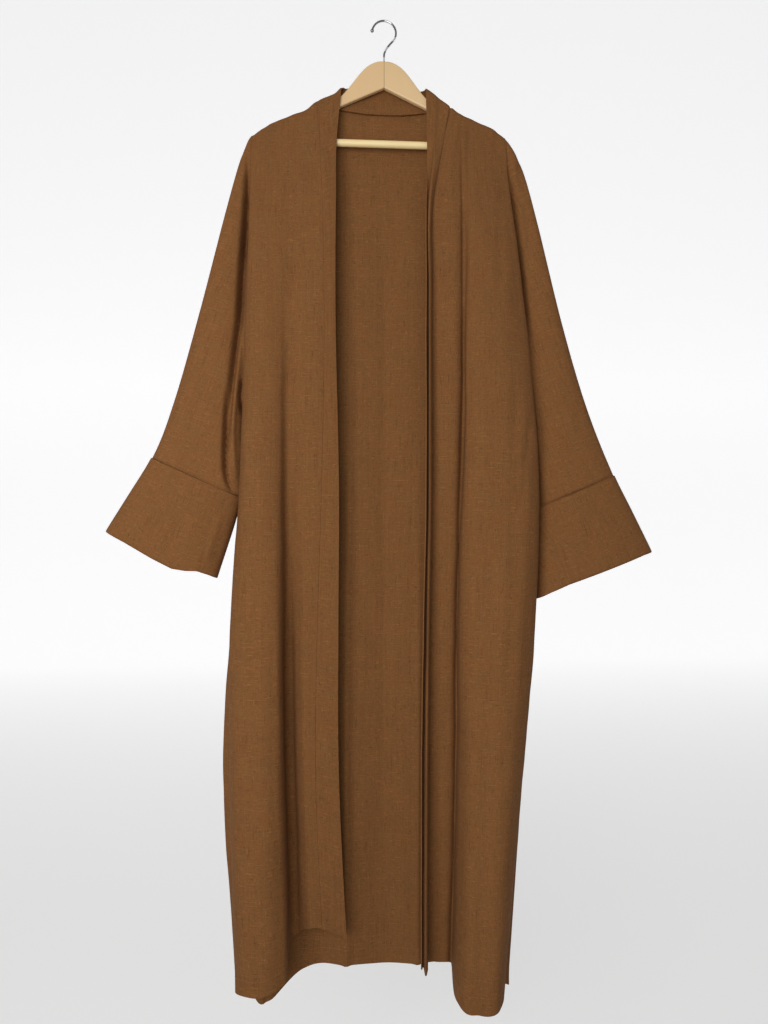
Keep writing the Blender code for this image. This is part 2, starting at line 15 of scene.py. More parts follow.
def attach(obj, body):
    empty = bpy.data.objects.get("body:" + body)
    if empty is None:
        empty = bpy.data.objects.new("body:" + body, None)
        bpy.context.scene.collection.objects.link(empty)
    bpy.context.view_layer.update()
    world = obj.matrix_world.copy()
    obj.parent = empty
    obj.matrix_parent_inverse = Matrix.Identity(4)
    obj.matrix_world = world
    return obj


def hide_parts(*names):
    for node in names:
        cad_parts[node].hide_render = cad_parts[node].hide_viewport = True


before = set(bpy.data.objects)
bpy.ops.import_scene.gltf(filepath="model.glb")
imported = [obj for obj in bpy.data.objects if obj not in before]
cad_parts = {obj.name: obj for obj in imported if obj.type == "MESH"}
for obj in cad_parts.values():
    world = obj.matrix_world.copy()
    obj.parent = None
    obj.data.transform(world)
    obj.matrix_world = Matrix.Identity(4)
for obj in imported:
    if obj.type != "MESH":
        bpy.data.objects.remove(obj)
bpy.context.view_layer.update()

MM = 0.001
CLOTH = 1.2 * MM
DOUBLE_CLOTH = 1.8 * MM
SEAM_GAP = 0.3 * MM

# The heights, below the hook, at which the fold tables give their sections
NECK, SHOULDER, ARM, CHEST, HIP, THIGH, KNEE, HEM = 0.12, 0.21, 0.30, 0.45, 0.80, 1.00, 1.20, 1.60
STATIONS = (NECK, SHOULDER, ARM, CHEST, HIP, THIGH, KNEE, HEM)

# The armhole: its lower end, how deep it is, and how soon it closes towards its end
UNDERARM = 0.62
ARMHOLE_DEPTH = 23 * MM
ARMHOLE_END = 0.035

# How the cloth rolls over the arms, and how far down it takes to hang freely
ROLL = 8.6 * MM
FREE_DROP = 0.14

# across and depth are in millimetres at the eight heights: across from the middle, depth towards the viewer
Fold = namedtuple("Fold", "name across depth hem")

RIGHT_FRONT = (
    Fold("band edge", (71, 79, 80, 81, 75, 76, 76, 58), (11, 13, 19, 24, 24, 24, 23, 16), 1508),
    Fold("band middle", (87, 90, 88, 87, 85, 88, 89, 71), (12, 15, 20.5, 25.5, 25.5, 25.5, 24.5, 17), 1501),
    Fold("band crown", (98, 98, 95, 93, 95, 100, 101, 85), (12, 17, 21.5, 26.5, 26.5, 26.5, 25.5, 18), 1495),
    Fold("band seam", (108, 106, 102, 99, 104, 110, 113, 97), (12, 17, 22, 27.5, 27.5, 27.5, 26, 19), 1490),
    Fold("near column", (131, 132, 130, 125, 128, 131, 131, 116), (12, 16, 22, 29, 29, 28, 26, 18), 1489),
    Fold("gutter", (158, 158, 158, 157, 158, 157, 155, 143), (12, 15, 21, 28, 21, 11, 5, -1), 1515),
    Fold("gutter flank", (174, 174, 174, 171, 169, 168, 166, 153), (12, 15, 21, 30, 39, 43, 44, 48), 1545),
    Fold("side column", (192, 193, 194, 196, 203, 205, 204, 194), (12, 14, 20, 32, 50, 58, 66, 80), 1562),
    Fold("side turn", (204, 208, 211, 216, 227, 236, 239, 227), (11, 14, 19, 27, 42, 47, 52, 65), 1566),
    Fold("side fold", (212, 216, 219, 224, 236, 249, 250, 238), (9, 12, 14, 17, 26, 28, 30, 38), 1576),
    Fold("side seam", (215, 218, 214, 216, 231, 243, 246, 232), (5, 7, 3, 3, 9, 9, 9, 14), 1586),
)
LEFT_FRONT = (
    Fold("band edge", (69, 70.5, 68, 66.5, 65.5, 61.5, 58.5, 56.5), (11, 13, 20, 29, 33, 35, 36, 46), 1549),
    Fold("band middle", (83, 79, 72.5, 72.3, 71, 67.5, 64.3, 61.2), (12, 17, 14, 17, 20, 22, 24, 34), 1550),
    Fold("band crown", (96, 86, 74, 72, 71, 68, 65.5, 63), (12, 19, 28, 38, 45, 47, 49, 59), 1551),
    Fold("band seam", (112, 95, 79, 76, 75, 72, 69.5, 66.5), (12, 17, 22, 31, 36, 37, 39, 49), 1546),
    Fold("lip gutter", (119, 102, 83, 81, 80, 77, 74, 71), (12, 15, 19, 24, 24, 22, 20, 21), 1550),
    Fold("small column", (126, 113, 98, 95, 94, 91, 89, 86), (12, 17, 22, 27, 26, 23, 20, 20), 1552),
    Fold("column's edge", (133, 121.5, 119, 119, 116, 112, 111, 102), (12, 16, 22, 27, 26, 22, 19, 18), 1554),
    Fold("gutter", (137, 128, 128, 129, 124, 119.5, 118.5, 109), (12, 15, 19.5, 21.5, 18, 14, 12, 12), 1558),
    Fold("big flank", (144, 137, 135, 135.5, 127, 122, 120.5, 110.5), (12, 17, 23, 31, 37, 39, 41, 50), 1591),
    Fold("big edge", (147, 141, 139, 141, 132.5, 127.5, 125.5, 115),
         (12, 17, 24, 34, 44, 48, 53, 66), 1594.5),
    Fold("big column", (163.5, 162.5, 164, 173, 179, 172, 164, 144),
         (12, 17, 25, 40, 56, 64, 72, 88), 1598.5),
    Fold("side turn", (184, 187.5, 197, 214, 233, 222, 206, 175), (11, 14, 20, 30, 50, 59, 67, 84), 1594),
    Fold("side fold", (195, 200, 211, 229, 253, 245, 227, 188), (9, 12, 14, 18, 32, 36, 40, 54), 1590),
    Fold("side seam", (199, 204, 205, 221, 250, 244, 225, 186), (5, 7, 3, 3, 9, 9, 10, 14), 1590),
)
# The back's folds between the two side seams, from the wearer's right to left, with across signed as X is and
# depth towards the wall. The side seams themselves are the fronts' last rows.
RIDGE_DEPTH = (12, 19, 22, 25, 27, 27, 27, 27)
BACK = (
    Fold("right back fold", (-208, -211, -211, -216, -231, -251, -264, -242),
         (8, 16, 20, 21, 12, 9, 8, 8), 1590),
    Fold("right turn", (-189, -192, -192, -197, -222, -239, -246, -230),
         (10, 20, 25, 28, 30, 29, 28, 26), 1598),
    Fold("right valley", (-150, -150, -151, -155, -168, -180, -190, -196),
         (11, 21, 25, 25, 22, 18, 10, -9), 1617),
    Fold("right ridge", (-108, -108, -108, -110, -118, -126, -132, -136), RIDGE_DEPTH, 1582),
    Fold("right neck corner", (-101, -101, -101, -103, -110, -117, -122, -124), RIDGE_DEPTH, 1577),
    Fold("near valley", (-54, -54, -54, -54, -58, -61, -64, -62), (13, 20, 21, 21, 21, 20, 19, 17), 1573),
    Fold("middle ridge", (0, 0, 1, 2, 2, 1, 0, 2), (13, 20, 22, 24, 26, 27, 28, 29), 1578),
    Fold("far valley", (54, 54, 55, 56, 60, 59, 58, 56), (13, 20, 21, 22, 21, 20, 19, 17), 1575),
    Fold("left neck corner", (101, 101, 102, 104, 115, 114, 110, 102), RIDGE_DEPTH, 1579),
    Fold("left ridge", (108, 108, 109, 112, 124, 122, 118, 110), RIDGE_DEPTH, 1580),
    Fold("left valley", (146, 146, 149, 158, 176, 173, 166, 152), (11, 21, 25, 26, 24, 21, 18, 12), 1594),
    Fold("left turn", (179, 178, 184, 204, 238, 230, 215, 186), (10, 20, 25, 28, 30, 30, 29, 28), 1605),
    Fold("left back fold", (193, 192, 200, 223, 258, 251, 238, 211), (8, 16, 20, 21, 12, 10, 9, 9), 1612),
)
# The place of the band's seam in the two fronts' tables
BAND_SEAM = 3

# The shoulder line over one arm: across and drop in millimetres
SHOULDER_LINE = (
    (0, 104.5), (45, 105.5), (66, 108.5), (96, 129), (125, 147), (154, 160), (190, 178), (207, 191),
    (220, 207),
)
# How much lower the cloth lies on the arms, from the right shoulder to the left, in the same way
SHOULDER_SAG = (
    (-222, -8), (-214, -3), (-205, 0), (-198, 1.2), (-180, 2.6), (-150, 2.8), (-126, 2.4), (-116, -1),
    (-108, -0.5), (-98, 1), (-88, 4), (-80, 6), (-72, 3), (-64, 0), (64, 0), (108, 0), (120, 1.2), (150, 1.8),
    (172, 1), (185, 1), (199, 2), (208, 3), (220, 4),
)
# The band behind the neck, in millimetres: the place and drop of its seam, and its free edge with its depth
NeckRow = namedtuple("NeckRow", "name seam seam_drop edge edge_drop edge_depth")
NECK_ROWS = (
    NeckRow("middle", 0, 150.0, 0, 104.5, 13.5),
    NeckRow("near the middle", 30, 149.3, 24, 104.6, 13.5),
    NeckRow("back neck", 62, 146.0, 46, 105.5, 13.0),
    NeckRow("past the corner", 88, 143.5, 59, 106.8, 11.5),
    NeckRow("corner", 101, 141.5, 64.5, 108.0, 9.0),
    NeckRow("behind the arm", 104.5, 140.0, 67.3, 108.9, 5.5),
    NeckRow("over the arm", 108, 137.0, 68, 109.2, 0.0),
)

# One row for each ring of a sleeve, in millimetres: its outer and inner edge, and how far it stands out
SleeveRing = namedtuple("SleeveRing", "name outer outer_drop inner inner_drop front back edge_depth")
RIGHT_SLEEVE = (
    SleeveRing("armhole", 215.5, 197, 226, 620, 8, 18, 0),
    SleeveRing("shoulder tip", 222, 204, 227, 624, 8, 18, 0),
    SleeveRing("past the arm's end", 231, 226, 228, 632, 8, 18, 0),
    SleeveRing("shoulder end", 240, 252, 230, 644, 9, 18, 1),
    SleeveRing("upper arm", 262, 334, 232, 672, 16, 18, 3),
    SleeveRing("elbow", 301, 488, 232, 720, 24, 17, 4),
    SleeveRing("forearm", 341, 632, 233, 760, 27, 17, 4),
    SleeveRing("cuff top", 377, 727, 236, 791, 28, 17, 4),
    SleeveRing("cuff fold", 447, 845, 277, 921, 30, 18, 4),
)
LEFT_SLEEVE = (
    SleeveRing("armhole", 199, 186, 246, 620, 8, 18, 0),
    SleeveRing("shoulder tip", 209, 197, 247, 626, 8, 18, 0),
    SleeveRing("past the arm's end", 222, 218, 249, 638, 9, 18, 0),
    SleeveRing("shoulder end", 237, 252, 251, 650, 10, 18, 1),
    SleeveRing("upper arm", 259, 334, 255, 688, 16, 18, 3),
    SleeveRing("elbow", 298, 492, 259, 740, 22, 17, 4),
    SleeveRing("forearm", 340, 634, 260, 775, 25, 17, 4),
    SleeveRing("cuff top", 388, 753, 261, 806, 26, 17, 4),
    SleeveRing("cuff fold", 451, 881, 260, 960, 28, 18, 4),
)

# The cuffs: the ring they begin at, their length, how far they stand out at their upper edge, just below it
# and at the fold, and how far they go back up inside
CUFF_TOP_RING = 7
CUFF_LENGTH = 0.139
CUFF_EDGE_STAND_OFF = 0.6 * MM
CUFF_TOP_STAND_OFF = 1.6 * MM
CUFF_STAND_OFF = 3.0 * MM
CUFF_RETURN = 0.014

# How a sleeve's rings are rounded, and how the first ones follow the armhole and the arm's end
RING_BLUNTNESS = 0.75
MIDDLE_RING = 4.5
ARMHOLE_BLEND = (0.3, 2.6)
BLEND_SHARE = 0.15
ARM_END_COVER = (0.216, 0.236)
SLEEVE_FREE_DROP = 1.6 * FREE_DROP
SLEEVE_HEAD = (0.22, 0.207)

# How far a cuff's fold drops below its straight line, in millimetres, from its outer end to its inner end
CUFF_WAVES = {
    "right": ((0, 0), (0.2, 2), (0.45, 8), (0.62, 10.5), (0.74, 5), (0.84, -2), (0.94, -3), (1, -2)),
    "left": ((0, 0), (0.1, -3), (0.25, -4), (0.5, -6), (0.75, -8), (0.9, -6), (1, -3)),
}
# How much of that drop the cuff's back has
BACK_WAVE = 0.6

# The outline of one wooden arm, across and drop in millimetres: its top over the crown, then its rounded end
# from where the shoulder's line stops, then its underside back to the joint
ARM_CROWN = (
    (0, 67.5), (10, 68), (20, 71.8), (30, 78.5), (40, 89), (50, 102), (60, 115), (70, 126), (82, 133.5),
    (96, 139.5), (110, 145.5),
)
ARM_END = ((3.5, 3.5), (5.8, 7), (6.8, 11), (6.2, 15), (4, 18), (0, 20))
ARM_UNDERSIDE = ((188, 211), (165, 197.5), (140, 180.5), (110, 164.5), (72.5, 145), (0, 111.5))
ARM_TOP_FROM = 0.125
ARM_TIP = 7 * MM
ARM_REACH = {-1.0: 0.2165, 1.0: 0.2085}
ARM_THICK = 10 * MM
ARM_ROUNDING = 2.6 * MM
ARM_CLEARANCE = 1.8 * MM
JOINT_SPARE = 14 * MM
JOINT_GAP = 0.06 * MM

# How finely the cloth is divided, across and down
BACK_CELL = (4.0 * MM, 5.0 * MM)
FRONT_CELL = (2.8 * MM, 4.0 * MM)
BAND_CELL = (2.2 * MM, 4.0 * MM)
SLEEVE_CELL = (4.2 * MM, 3.6 * MM)
UNDER_EDGE_CELL = 2.0 * MM
UNDER_EDGE = 0.055
EDGE_DROPS = (0, 0.4, 0.9, 1.6, 2.5, 3.6, 5.0, 6.6, 8.4, 10.5, 13, 16, 19.5)

# The seams: how far an allowance turns in, the angle of a wall's rim, how far apart two sewn pieces stand
# (below 0, they touch), and how near two points are merged
SEAM_IN = 2.0 * MM
RIM_ANGLE = math.radians(70)
PIECES_APART = -0.03 * MM
SAME_PLACE = 0.02 * MM

# The band behind the neck: how it stands off the back and where it does, and the stitched line below it
NECK_STAND_OFF = 4.5 * MM
NECK_OVERLAP = 2.5 * MM
NECK_FREE = (0.095, 0.04)
NECK_HALF = 0.075
NECK_LINE = (0.1715, 0.0045, 0.06)

# The hems' depths, and a stitch's half length, half width and half thickness, its pitch and its lift
HEM_DEPTH = {"right": 24 * MM, "left": 27 * MM, "back": 26 * MM}
STITCH = (1.15 * MM, 0.32 * MM, 0.26 * MM)
STITCH_PITCH = 3.2 * MM
STITCH_LIFT = 0.05 * MM


def smooth(knots, values, at):
    """Reads a soft curve through the values at the knots, one value or a row of them for each knot."""
    knots = np.asarray(knots, float)
    values = np.asarray(values, float)
    at = np.clip(np.asarray(at, float), knots[0], knots[-1])
    slopes = np.gradient(values, knots, axis=0)
    low = np.clip(np.searchsorted(knots, at, side="right") - 1, 0, len(knots) - 2)
    span = knots[low + 1] - knots[low]
    t = (at - knots[low]) / span
    extra = (1,) * (values.ndim - 1)
    t = t.reshape(t.shape + extra)
    span = span.reshape(span.shape + extra)
    start = (2 * t**3 - 3 * t**2 + 1) * values[low] + (t**3 - 2 * t**2 + t) * span * slopes[low]
    end = (3 * t**2 - 2 * t**3) * values[low + 1] + (t**3 - t**2) * span * slopes[low + 1]
    return start + end


def run_along(route):
    """How far along a route each of its points is, or along each column of a grid of points."""
    steps = np.linalg.norm(np.diff(route, axis=0), axis=-1)
    return np.concatenate((np.zeros_like(steps[:1]), np.cumsum(steps, axis=0)))


def read_along(run, values, at):
    """Reads a route's places or directions between its points."""
    return np.stack([np.interp(at, run, axis) for axis in values.T], axis=-1)


def ease(t):
    """Goes softly from 0 to 1."""
    t = np.clip(t, 0.0, 1.0)
    return t * t * (3 - 2 * t)


def shoulder_drop(across):
    """How far below the hook the shoulder line is, at a distance from the middle."""
    points = np.array(SHOULDER_LINE) * MM
    drop = smooth(points[:, 0], points[:, 1], np.abs(across))
    sag = np.array(SHOULDER_SAG) * MM
    return drop + smooth(sag[:, 0], sag[:, 1], across)


def back_table():
    """The back's folds with the two side seams, in the back's own signs."""
    right, left = RIGHT_FRONT[-1], LEFT_FRONT[-1]
    right_depth, left_depth = ([-depth for depth in seam.depth] for seam in (right, left))
    first = Fold("right side seam", [-across for across in right.across], right_depth, right.hem)
    last = Fold("left side seam", left.across, left_depth, left.hem)
    return (first, *BACK, last)


def back_top(across):
    """The upper edge of the back: the neck seam in the middle, and the shoulder line beyond it."""
    seam = np.array([(row.seam, row.seam_drop) for row in NECK_ROWS]) * MM
    neck = np.interp(np.abs(across), seam[:, 0], seam[:, 1])
    return np.where(np.abs(across) < seam[-1, 0], neck, shoulder_drop(across))


class Folds:
    """The sections of a fold table: where its cloth is, at any place across and any height."""

    def __init__(self, table, mirror=1.0, to_viewer=-1.0):
        across = np.array([fold.across for fold in table], float).T * MM * mirror
        depth = np.array([fold.depth for fold in table], float).T * MM * to_viewer
        self.names = [fold.name for fold in table]
        self.sections = np.stack((across, depth), axis=2)
        self.hems = np.array([fold.hem for fold in table], float) * MM
        self.mirror = mirror
        self.knots = run_along(self.sections[STATIONS.index(HIP)])
        self.side = to_viewer

    def columns(self, first, last, spacing):
        """Even places across, from one fold to another."""
        start, end = self.knots[first], self.knots[last]
        return np.linspace(start, end, round(abs(end - start) / spacing) + 1)

    def weights(self, columns):
        return smooth(self.knots, np.eye(len(self.knots)), columns)

    def plan(self, columns, drops):
        """Across and depth for a grid of drops, one column of the grid for each place across."""
        sections = smooth(STATIONS, self.sections, drops)
        return np.einsum("rcnk,cn->rck", sections, self.weights(columns))

    def top(self, columns, top_line):
        """The drop of the upper edge of each column, where it meets the top line."""
        drop = np.full((1, len(columns)), 0.5 * (NECK + SHOULDER))
        for _ in range(12):
            drop = top_line(self.plan(columns, drop)[..., 0])
        return drop[0]

    def hem(self, columns):
        return self.weights(columns) @ self.hems

    def body_edge(self, drops, on_front):
        """The edge that a sleeve is sewn to: how far from the middle it is, and its depth on either side."""
        line = smooth(STATIONS, self.sections[:, -1], drops)
        across, depth = np.abs(line[..., 0]), line[..., 1]
        below = drops - shoulder_drop(across * self.mirror)
        front = rolled(depth, -1.0, below)
        back = rolled(depth + armhole_depth(drops), 1.0, below)
        return across, np.where(on_front, front, back)


def armhole_depth(drops):
    """How far apart the front's and the back's side edges stand above the underarm, for the sleeves."""
    return ARMHOLE_DEPTH * ease((UNDERARM - drops) / ARMHOLE_END)


def armhole_opening(columns, knots, drops):
    """How far the back stands behind its side edges' own place, most at the edges themselves."""
    from_edge = np.minimum((columns - knots[0]) / (knots[1] - knots[0]),
                           (knots[-1] - columns) / (knots[-1] - knots[-2]))
    return armhole_depth(drops) * np.clip(1 - from_edge, 0, 1)


def rolled(depth, side, below_ridge):
    """Brings cloth that hangs at a depth round over the arm, where it nears the shoulder line."""
    turn = np.clip(below_ridge / ROLL, 0.0, 1.0)
    over = side * ROLL * np.sqrt(1 - (1 - turn)**2)
    return over + (depth - side * ROLL) * ease(below_ridge / FREE_DROP)


# A piece of cloth as it hangs, in metres: its points, their places on the flat cloth, the places that the
# creases are given by, and how far in from the seams each point is
Cut = namedtuple("Cut", "points flat measure from_edge", defaults=(None,))


def hanging_cut(folds, columns, row_step, top_line=shoulder_drop, armholes=False):
    """A panel from its upper edge to its hem."""
    top = folds.top(columns, top_line)
    hem = folds.hem(columns)
    edge = np.array(EDGE_DROPS)[:, None] * MM
    low = top + edge[-1]
    share = np.linspace(0, 1, round(float(np.mean(hem - low)) / row_step) + 1)[1:, None]
    drops = np.concatenate((top + edge, low + (hem - low) * share))
    plan = folds.plan(columns, drops)
    hanging = plan[..., 1]
    if armholes:
        hanging = hanging + armhole_opening(columns, folds.knots, drops)
    depth = rolled(hanging, folds.side, drops - shoulder_drop(plan[..., 0]))
    points = np.stack((plan[..., 0], depth, -drops), axis=2)
    flat = np.stack((np.broadcast_to(columns, drops.shape), drops), axis=2)
    measure = np.stack((plan[..., 0] * folds.mirror, drops), axis=2)
    from_edge = np.broadcast_to(np.minimum(columns - columns[0], columns[-1] - columns), drops.shape)
    return Cut(points, flat, measure, from_edge)


def outward(points, closed=False):
    """The direction out of the cloth at each point, which for a tube is away from its middle."""
    if closed:
        across = np.roll(points, -1, axis=1) - np.roll(points, 1, axis=1)
        across[:, 0] = across[:, -1] = points[:, 1] - points[:, -2]
    else:
        across = np.gradient(points, axis=1)
    normals = np.cross(across, np.gradient(points, axis=0))
    normals /= np.linalg.norm(normals, axis=2, keepdims=True) + 1e-12
    away = points - points.mean(axis=1, keepdims=True) if closed else points
    way = np.sign(np.sum(normals[..., 1] * away[..., 1]))
    return normals * way


# A crease in the cloth, in millimetres: its route across and down, its half width, and how far it stands out,
# or in where it is below 0
Crease = namedtuple("Crease", "name route width height")
CREASE_FADE = 0.28
CREASE_SHOULDERS = 0.3
RIPPLE_HEIGHT = 0.5 * MM
RIPPLE_LENGTH = 0.11
# How far from a seam a crease and a ripple have their full height
CREASE_EASE = 4 * MM
RIPPLE_EASE = 12 * MM


def crease_lift(places, crease, seed):
    """How far one crease lifts each place of the cloth: most at its middle, fading softly to both ends."""
    route = np.array(crease.route, float) * MM
    lengths = run_along(route)
    nearest = np.full(places.shape[:2], np.inf)
    share = np.zeros(places.shape[:2])
    for index, (start, end) in enumerate(zip(route[:-1], route[1:])):
        way = end - start
        t = np.clip(((places - start) @ way) / (way @ way), 0, 1)
        distance = np.linalg.norm(places - start - t[..., None] * way, axis=2)
        at = (lengths[index] + t * (lengths[index + 1] - lengths[index])) / lengths[-1]
        share = np.where(distance < nearest, at, share)
        nearest = np.minimum(distance, nearest)
    spread = (nearest / (crease.width * MM))**2
    uneven = 1 + 0.15 * np.sin(share * (9 + seed % 5) + seed) + 0.07 * np.sin(share * 23 + 2 * seed)
    taper = ease(share / CREASE_FADE) * ease((1 - share) / CREASE_FADE)
    return crease.height * MM * uneven * taper * (1 - CREASE_SHOULDERS * spread) * np.exp(-spread)


def ripple(flat, seed, height):
    """The slow unevenness of hanging cloth, from a few long waves."""
    chance = np.random.default_rng(seed)
    lift = np.zeros(flat.shape[:2])
    for share in (1.0, 0.72, 0.5, 0.37):
        across = 2 * math.pi / (RIPPLE_LENGTH * share) * chance.uniform(0.8, 1.2)
        down = across * chance.uniform(0.12, 0.3)
        start = chance.uniform(0, 2 * math.pi, 2)
        wander = 1.3 * np.sin(flat[..., 1] * down * 1.7 + start[1])
        along = flat[..., 1] * down * chance.choice((-1, 1))
        lift += share * np.sin(flat[..., 0] * across + along + start[0] + wander)
    return height * lift / 1.6


def hung(cut, creases, seed, closed=False, height=RIPPLE_HEIGHT):
    """Lays a piece's creases and its slow unevenness into its points: a panel's square to its cloth, and a
    sleeve's to the front and back. Its seams stay where they are."""
    lift = ripple(cut.flat, seed, height) * ease(cut.from_edge / RIPPLE_EASE)
    for index, crease in enumerate(creases):
        lift = lift + crease_lift(cut.measure, crease, seed + index) * ease(cut.from_edge / CREASE_EASE)
    if closed:
        side = np.where(cut.measure[..., 0] >= 0, -1.0, 1.0)
        way = side[..., None] * np.array((0.0, 1.0, 0.0))
    else:
        way = outward(cut.points)
    return cut._replace(points=cut.points + way * lift[..., None])


def edge_first(grid, edge):
    """Turns a grid so that one of its edges is its first row. Turned twice, it is as it was."""
    if edge == "top":
        return grid
    grid = grid.swapaxes(0, 1)
    return grid[::-1, ::-1] if edge == "last" else grid


def seamed(cut, wall, edges):
    """Turns the allowance of each seamed edge in: the top row, and the first and the last column."""
    grids = cut.points, cut.flat, -outward(cut.points)
    for edge in edges:
        points, flat, inward = (edge_first(grid, edge) for grid in grids)
        way = points[1] - points[0]
        moved = points[0] + way / np.linalg.norm(way, axis=1, keepdims=True) * (wall / 2 + PIECES_APART)
        points = np.concatenate(([moved + inward[0] * SEAM_IN, moved], points[1:]))
        flat = np.concatenate(([flat[0] + (flat[0] - flat[1]) * 0.5], flat))
        inward = np.concatenate((inward[:1], inward))
        grids = [edge_first(grid, edge) for grid in (points, flat, inward)]
    return Cut(grids[0], grids[1], grids[1])


def apply_modifiers(piece):
    """Makes a piece's modifiers part of its mesh."""
    bpy.ops.object.select_all(action="DESELECT")
    piece.select_set(True)
    bpy.context.view_layer.objects.active = piece
    for modifier in list(piece.modifiers):
        bpy.ops.object.modifier_apply(modifier=modifier.name)


def edit_all(operation, **settings):
    """Runs one edit on the whole of the active mesh, and turns its faces outward."""
    bpy.ops.object.mode_set(mode="EDIT")
    bpy.ops.mesh.select_all(action="SELECT")
    operation(**settings)
    bpy.ops.mesh.select_all(action="SELECT")
    bpy.ops.mesh.normals_make_consistent(inside=False)
    bpy.ops.object.mode_set(mode="OBJECT")


def cloth(name, cut, wall, closed=False):
    """Makes a named piece of cloth on a grid, with its flat places as its UV map, and gives it its wall."""
    points, flat = cut.points, cut.flat
    rows, columns = points.shape[:2]
    bpy.ops.mesh.primitive_grid_add(x_subdivisions=columns - 1, y_subdivisions=rows - 1, size=1)
    piece = bpy.context.object
    piece.name = name
    mesh = piece.data
    mesh.name = name
    places = np.empty(len(mesh.vertices) * 3)
    mesh.vertices.foreach_get("co", places)
    places = places.reshape(-1, 3)
    column = np.rint((places[:, 0] + 0.5) * (columns - 1)).astype(int)
    row = np.rint((places[:, 1] + 0.5) * (rows - 1)).astype(int)
    mesh.vertices.foreach_set("co", points[row, column].ravel())
    corners = np.empty(len(mesh.loops), dtype=int)
    mesh.loops.foreach_get("vertex_index", corners)
    mesh.uv_layers[0].name = "cloth"
    mesh.uv_layers[0].data.foreach_set("uv", flat[row[corners], column[corners]].ravel())
    mesh.update()
    if closed:
        edit_all(bpy.ops.mesh.remove_doubles, threshold=SAME_PLACE)
    solidify = piece.modifiers.new("wall", "SOLIDIFY")
    solidify.thickness = wall
    solidify.offset = 0.0
    apply_modifiers(piece)
    bpy.ops.object.shade_smooth_by_angle(angle=RIM_ANGLE)
    return piece


def neck_cut(back, ridge, width):
    """The band's stretch behind the neck, along the back's upper edge from the arm to the middle."""
    first, last = back.names.index(ridge), back.names.index("middle ridge")
    columns = back.columns(first, last, BAND_CELL[1])
    drop = back.top(columns, back_top)
    plan = back.plan(columns, drop[None])[0]
    depth = rolled(plan[:, 1], back.side, drop - shoulder_drop(plan[:, 0]))
    seam = np.stack((plan[:, 0], depth, -drop), axis=1)
    free = ease((NECK_FREE[0] - np.abs(plan[:, 0])) / NECK_FREE[1])
    seam -= np.stack((0 * free, NECK_STAND_OFF * free, NECK_OVERLAP * free), axis=1)
    rows = np.array([row[1:] for row in NECK_ROWS], float) * MM
    edge = smooth(rows[:, 0], rows[:, 2:], np.abs(seam[:, 0]))
    edge = np.stack((edge[:, 0] * np.sign(seam[0, 0]), edge[:, 2], -edge[:, 1]), axis=1)
    share = np.linspace(0, 1, width)[None, :, None]
    return edge[:, None] * (1 - share) + seam[:, None] * share


def band_cut(folds, back, ridge):
    """Half of the band: up the front, over the arm and round to the middle of the back neck."""
    columns = folds.columns(0, BAND_SEAM, BAND_CELL[0])
    front = hanging_cut(folds, columns, BAND_CELL[1])
    behind = neck_cut(back, ridge, len(columns))[1:]
    points = np.concatenate((front.points[::-1], behind), axis=0)
    middle = len(columns) // 2
    along = front.flat[-1, middle, 1] - run_along(points[:, middle])
    flat = np.stack(np.broadcast_arrays(columns[None], along[:, None]), axis=2)
    return Cut(points, flat, flat, np.broadcast_to(columns[-1] - columns, flat.shape[:2]))


def sleeve_ring(table, place, stand_off=0.0):
    """A ring's two edges and its depths at a place along the sleeve, moved out by stand_off."""
    rows = np.array([ring[1:] for ring in table], float) * MM
    outer, outer_drop, inner, inner_drop, front, back, edge = smooth(range(len(rows)), rows, place)
    start = np.array((outer, outer_drop))
    end = np.array((inner, inner_drop))
    along = (end - start) / np.linalg.norm(end - start)
    return start - along * stand_off, end + along * stand_off, front + stand_off, back + stand_off, edge


def ring_angles(table, place, spacing):
    """Angles that divide a sleeve's ring evenly, from its under edge up one side and down the other."""
    angle = np.linspace(-math.pi, math.pi, 1441)
    start, end, front, back, edge = sleeve_ring(table, place)
    along = np.linalg.norm(end - start) * (1 - np.cos(angle)) / 2
    bulge = np.sign(np.sin(angle)) * np.abs(np.sin(angle))**RING_BLUNTNESS
    depth = np.where(bulge > 0, front, back) * bulge
    run = run_along(np.stack((along, depth), axis=1))
    near_under_edge = ease((run - run[-1] + UNDER_EDGE) / (0.3 * UNDER_EDGE))
    cells = 1 / spacing + (1 / UNDER_EDGE_CELL - 1 / spacing) * near_under_edge
    count = np.concatenate(([0.0], np.cumsum(0.5 * (cells[1:] + cells[:-1]) * np.diff(run))))
    return np.interp(np.linspace(0, count[-1], round(count[-1]) + 1), count, angle)


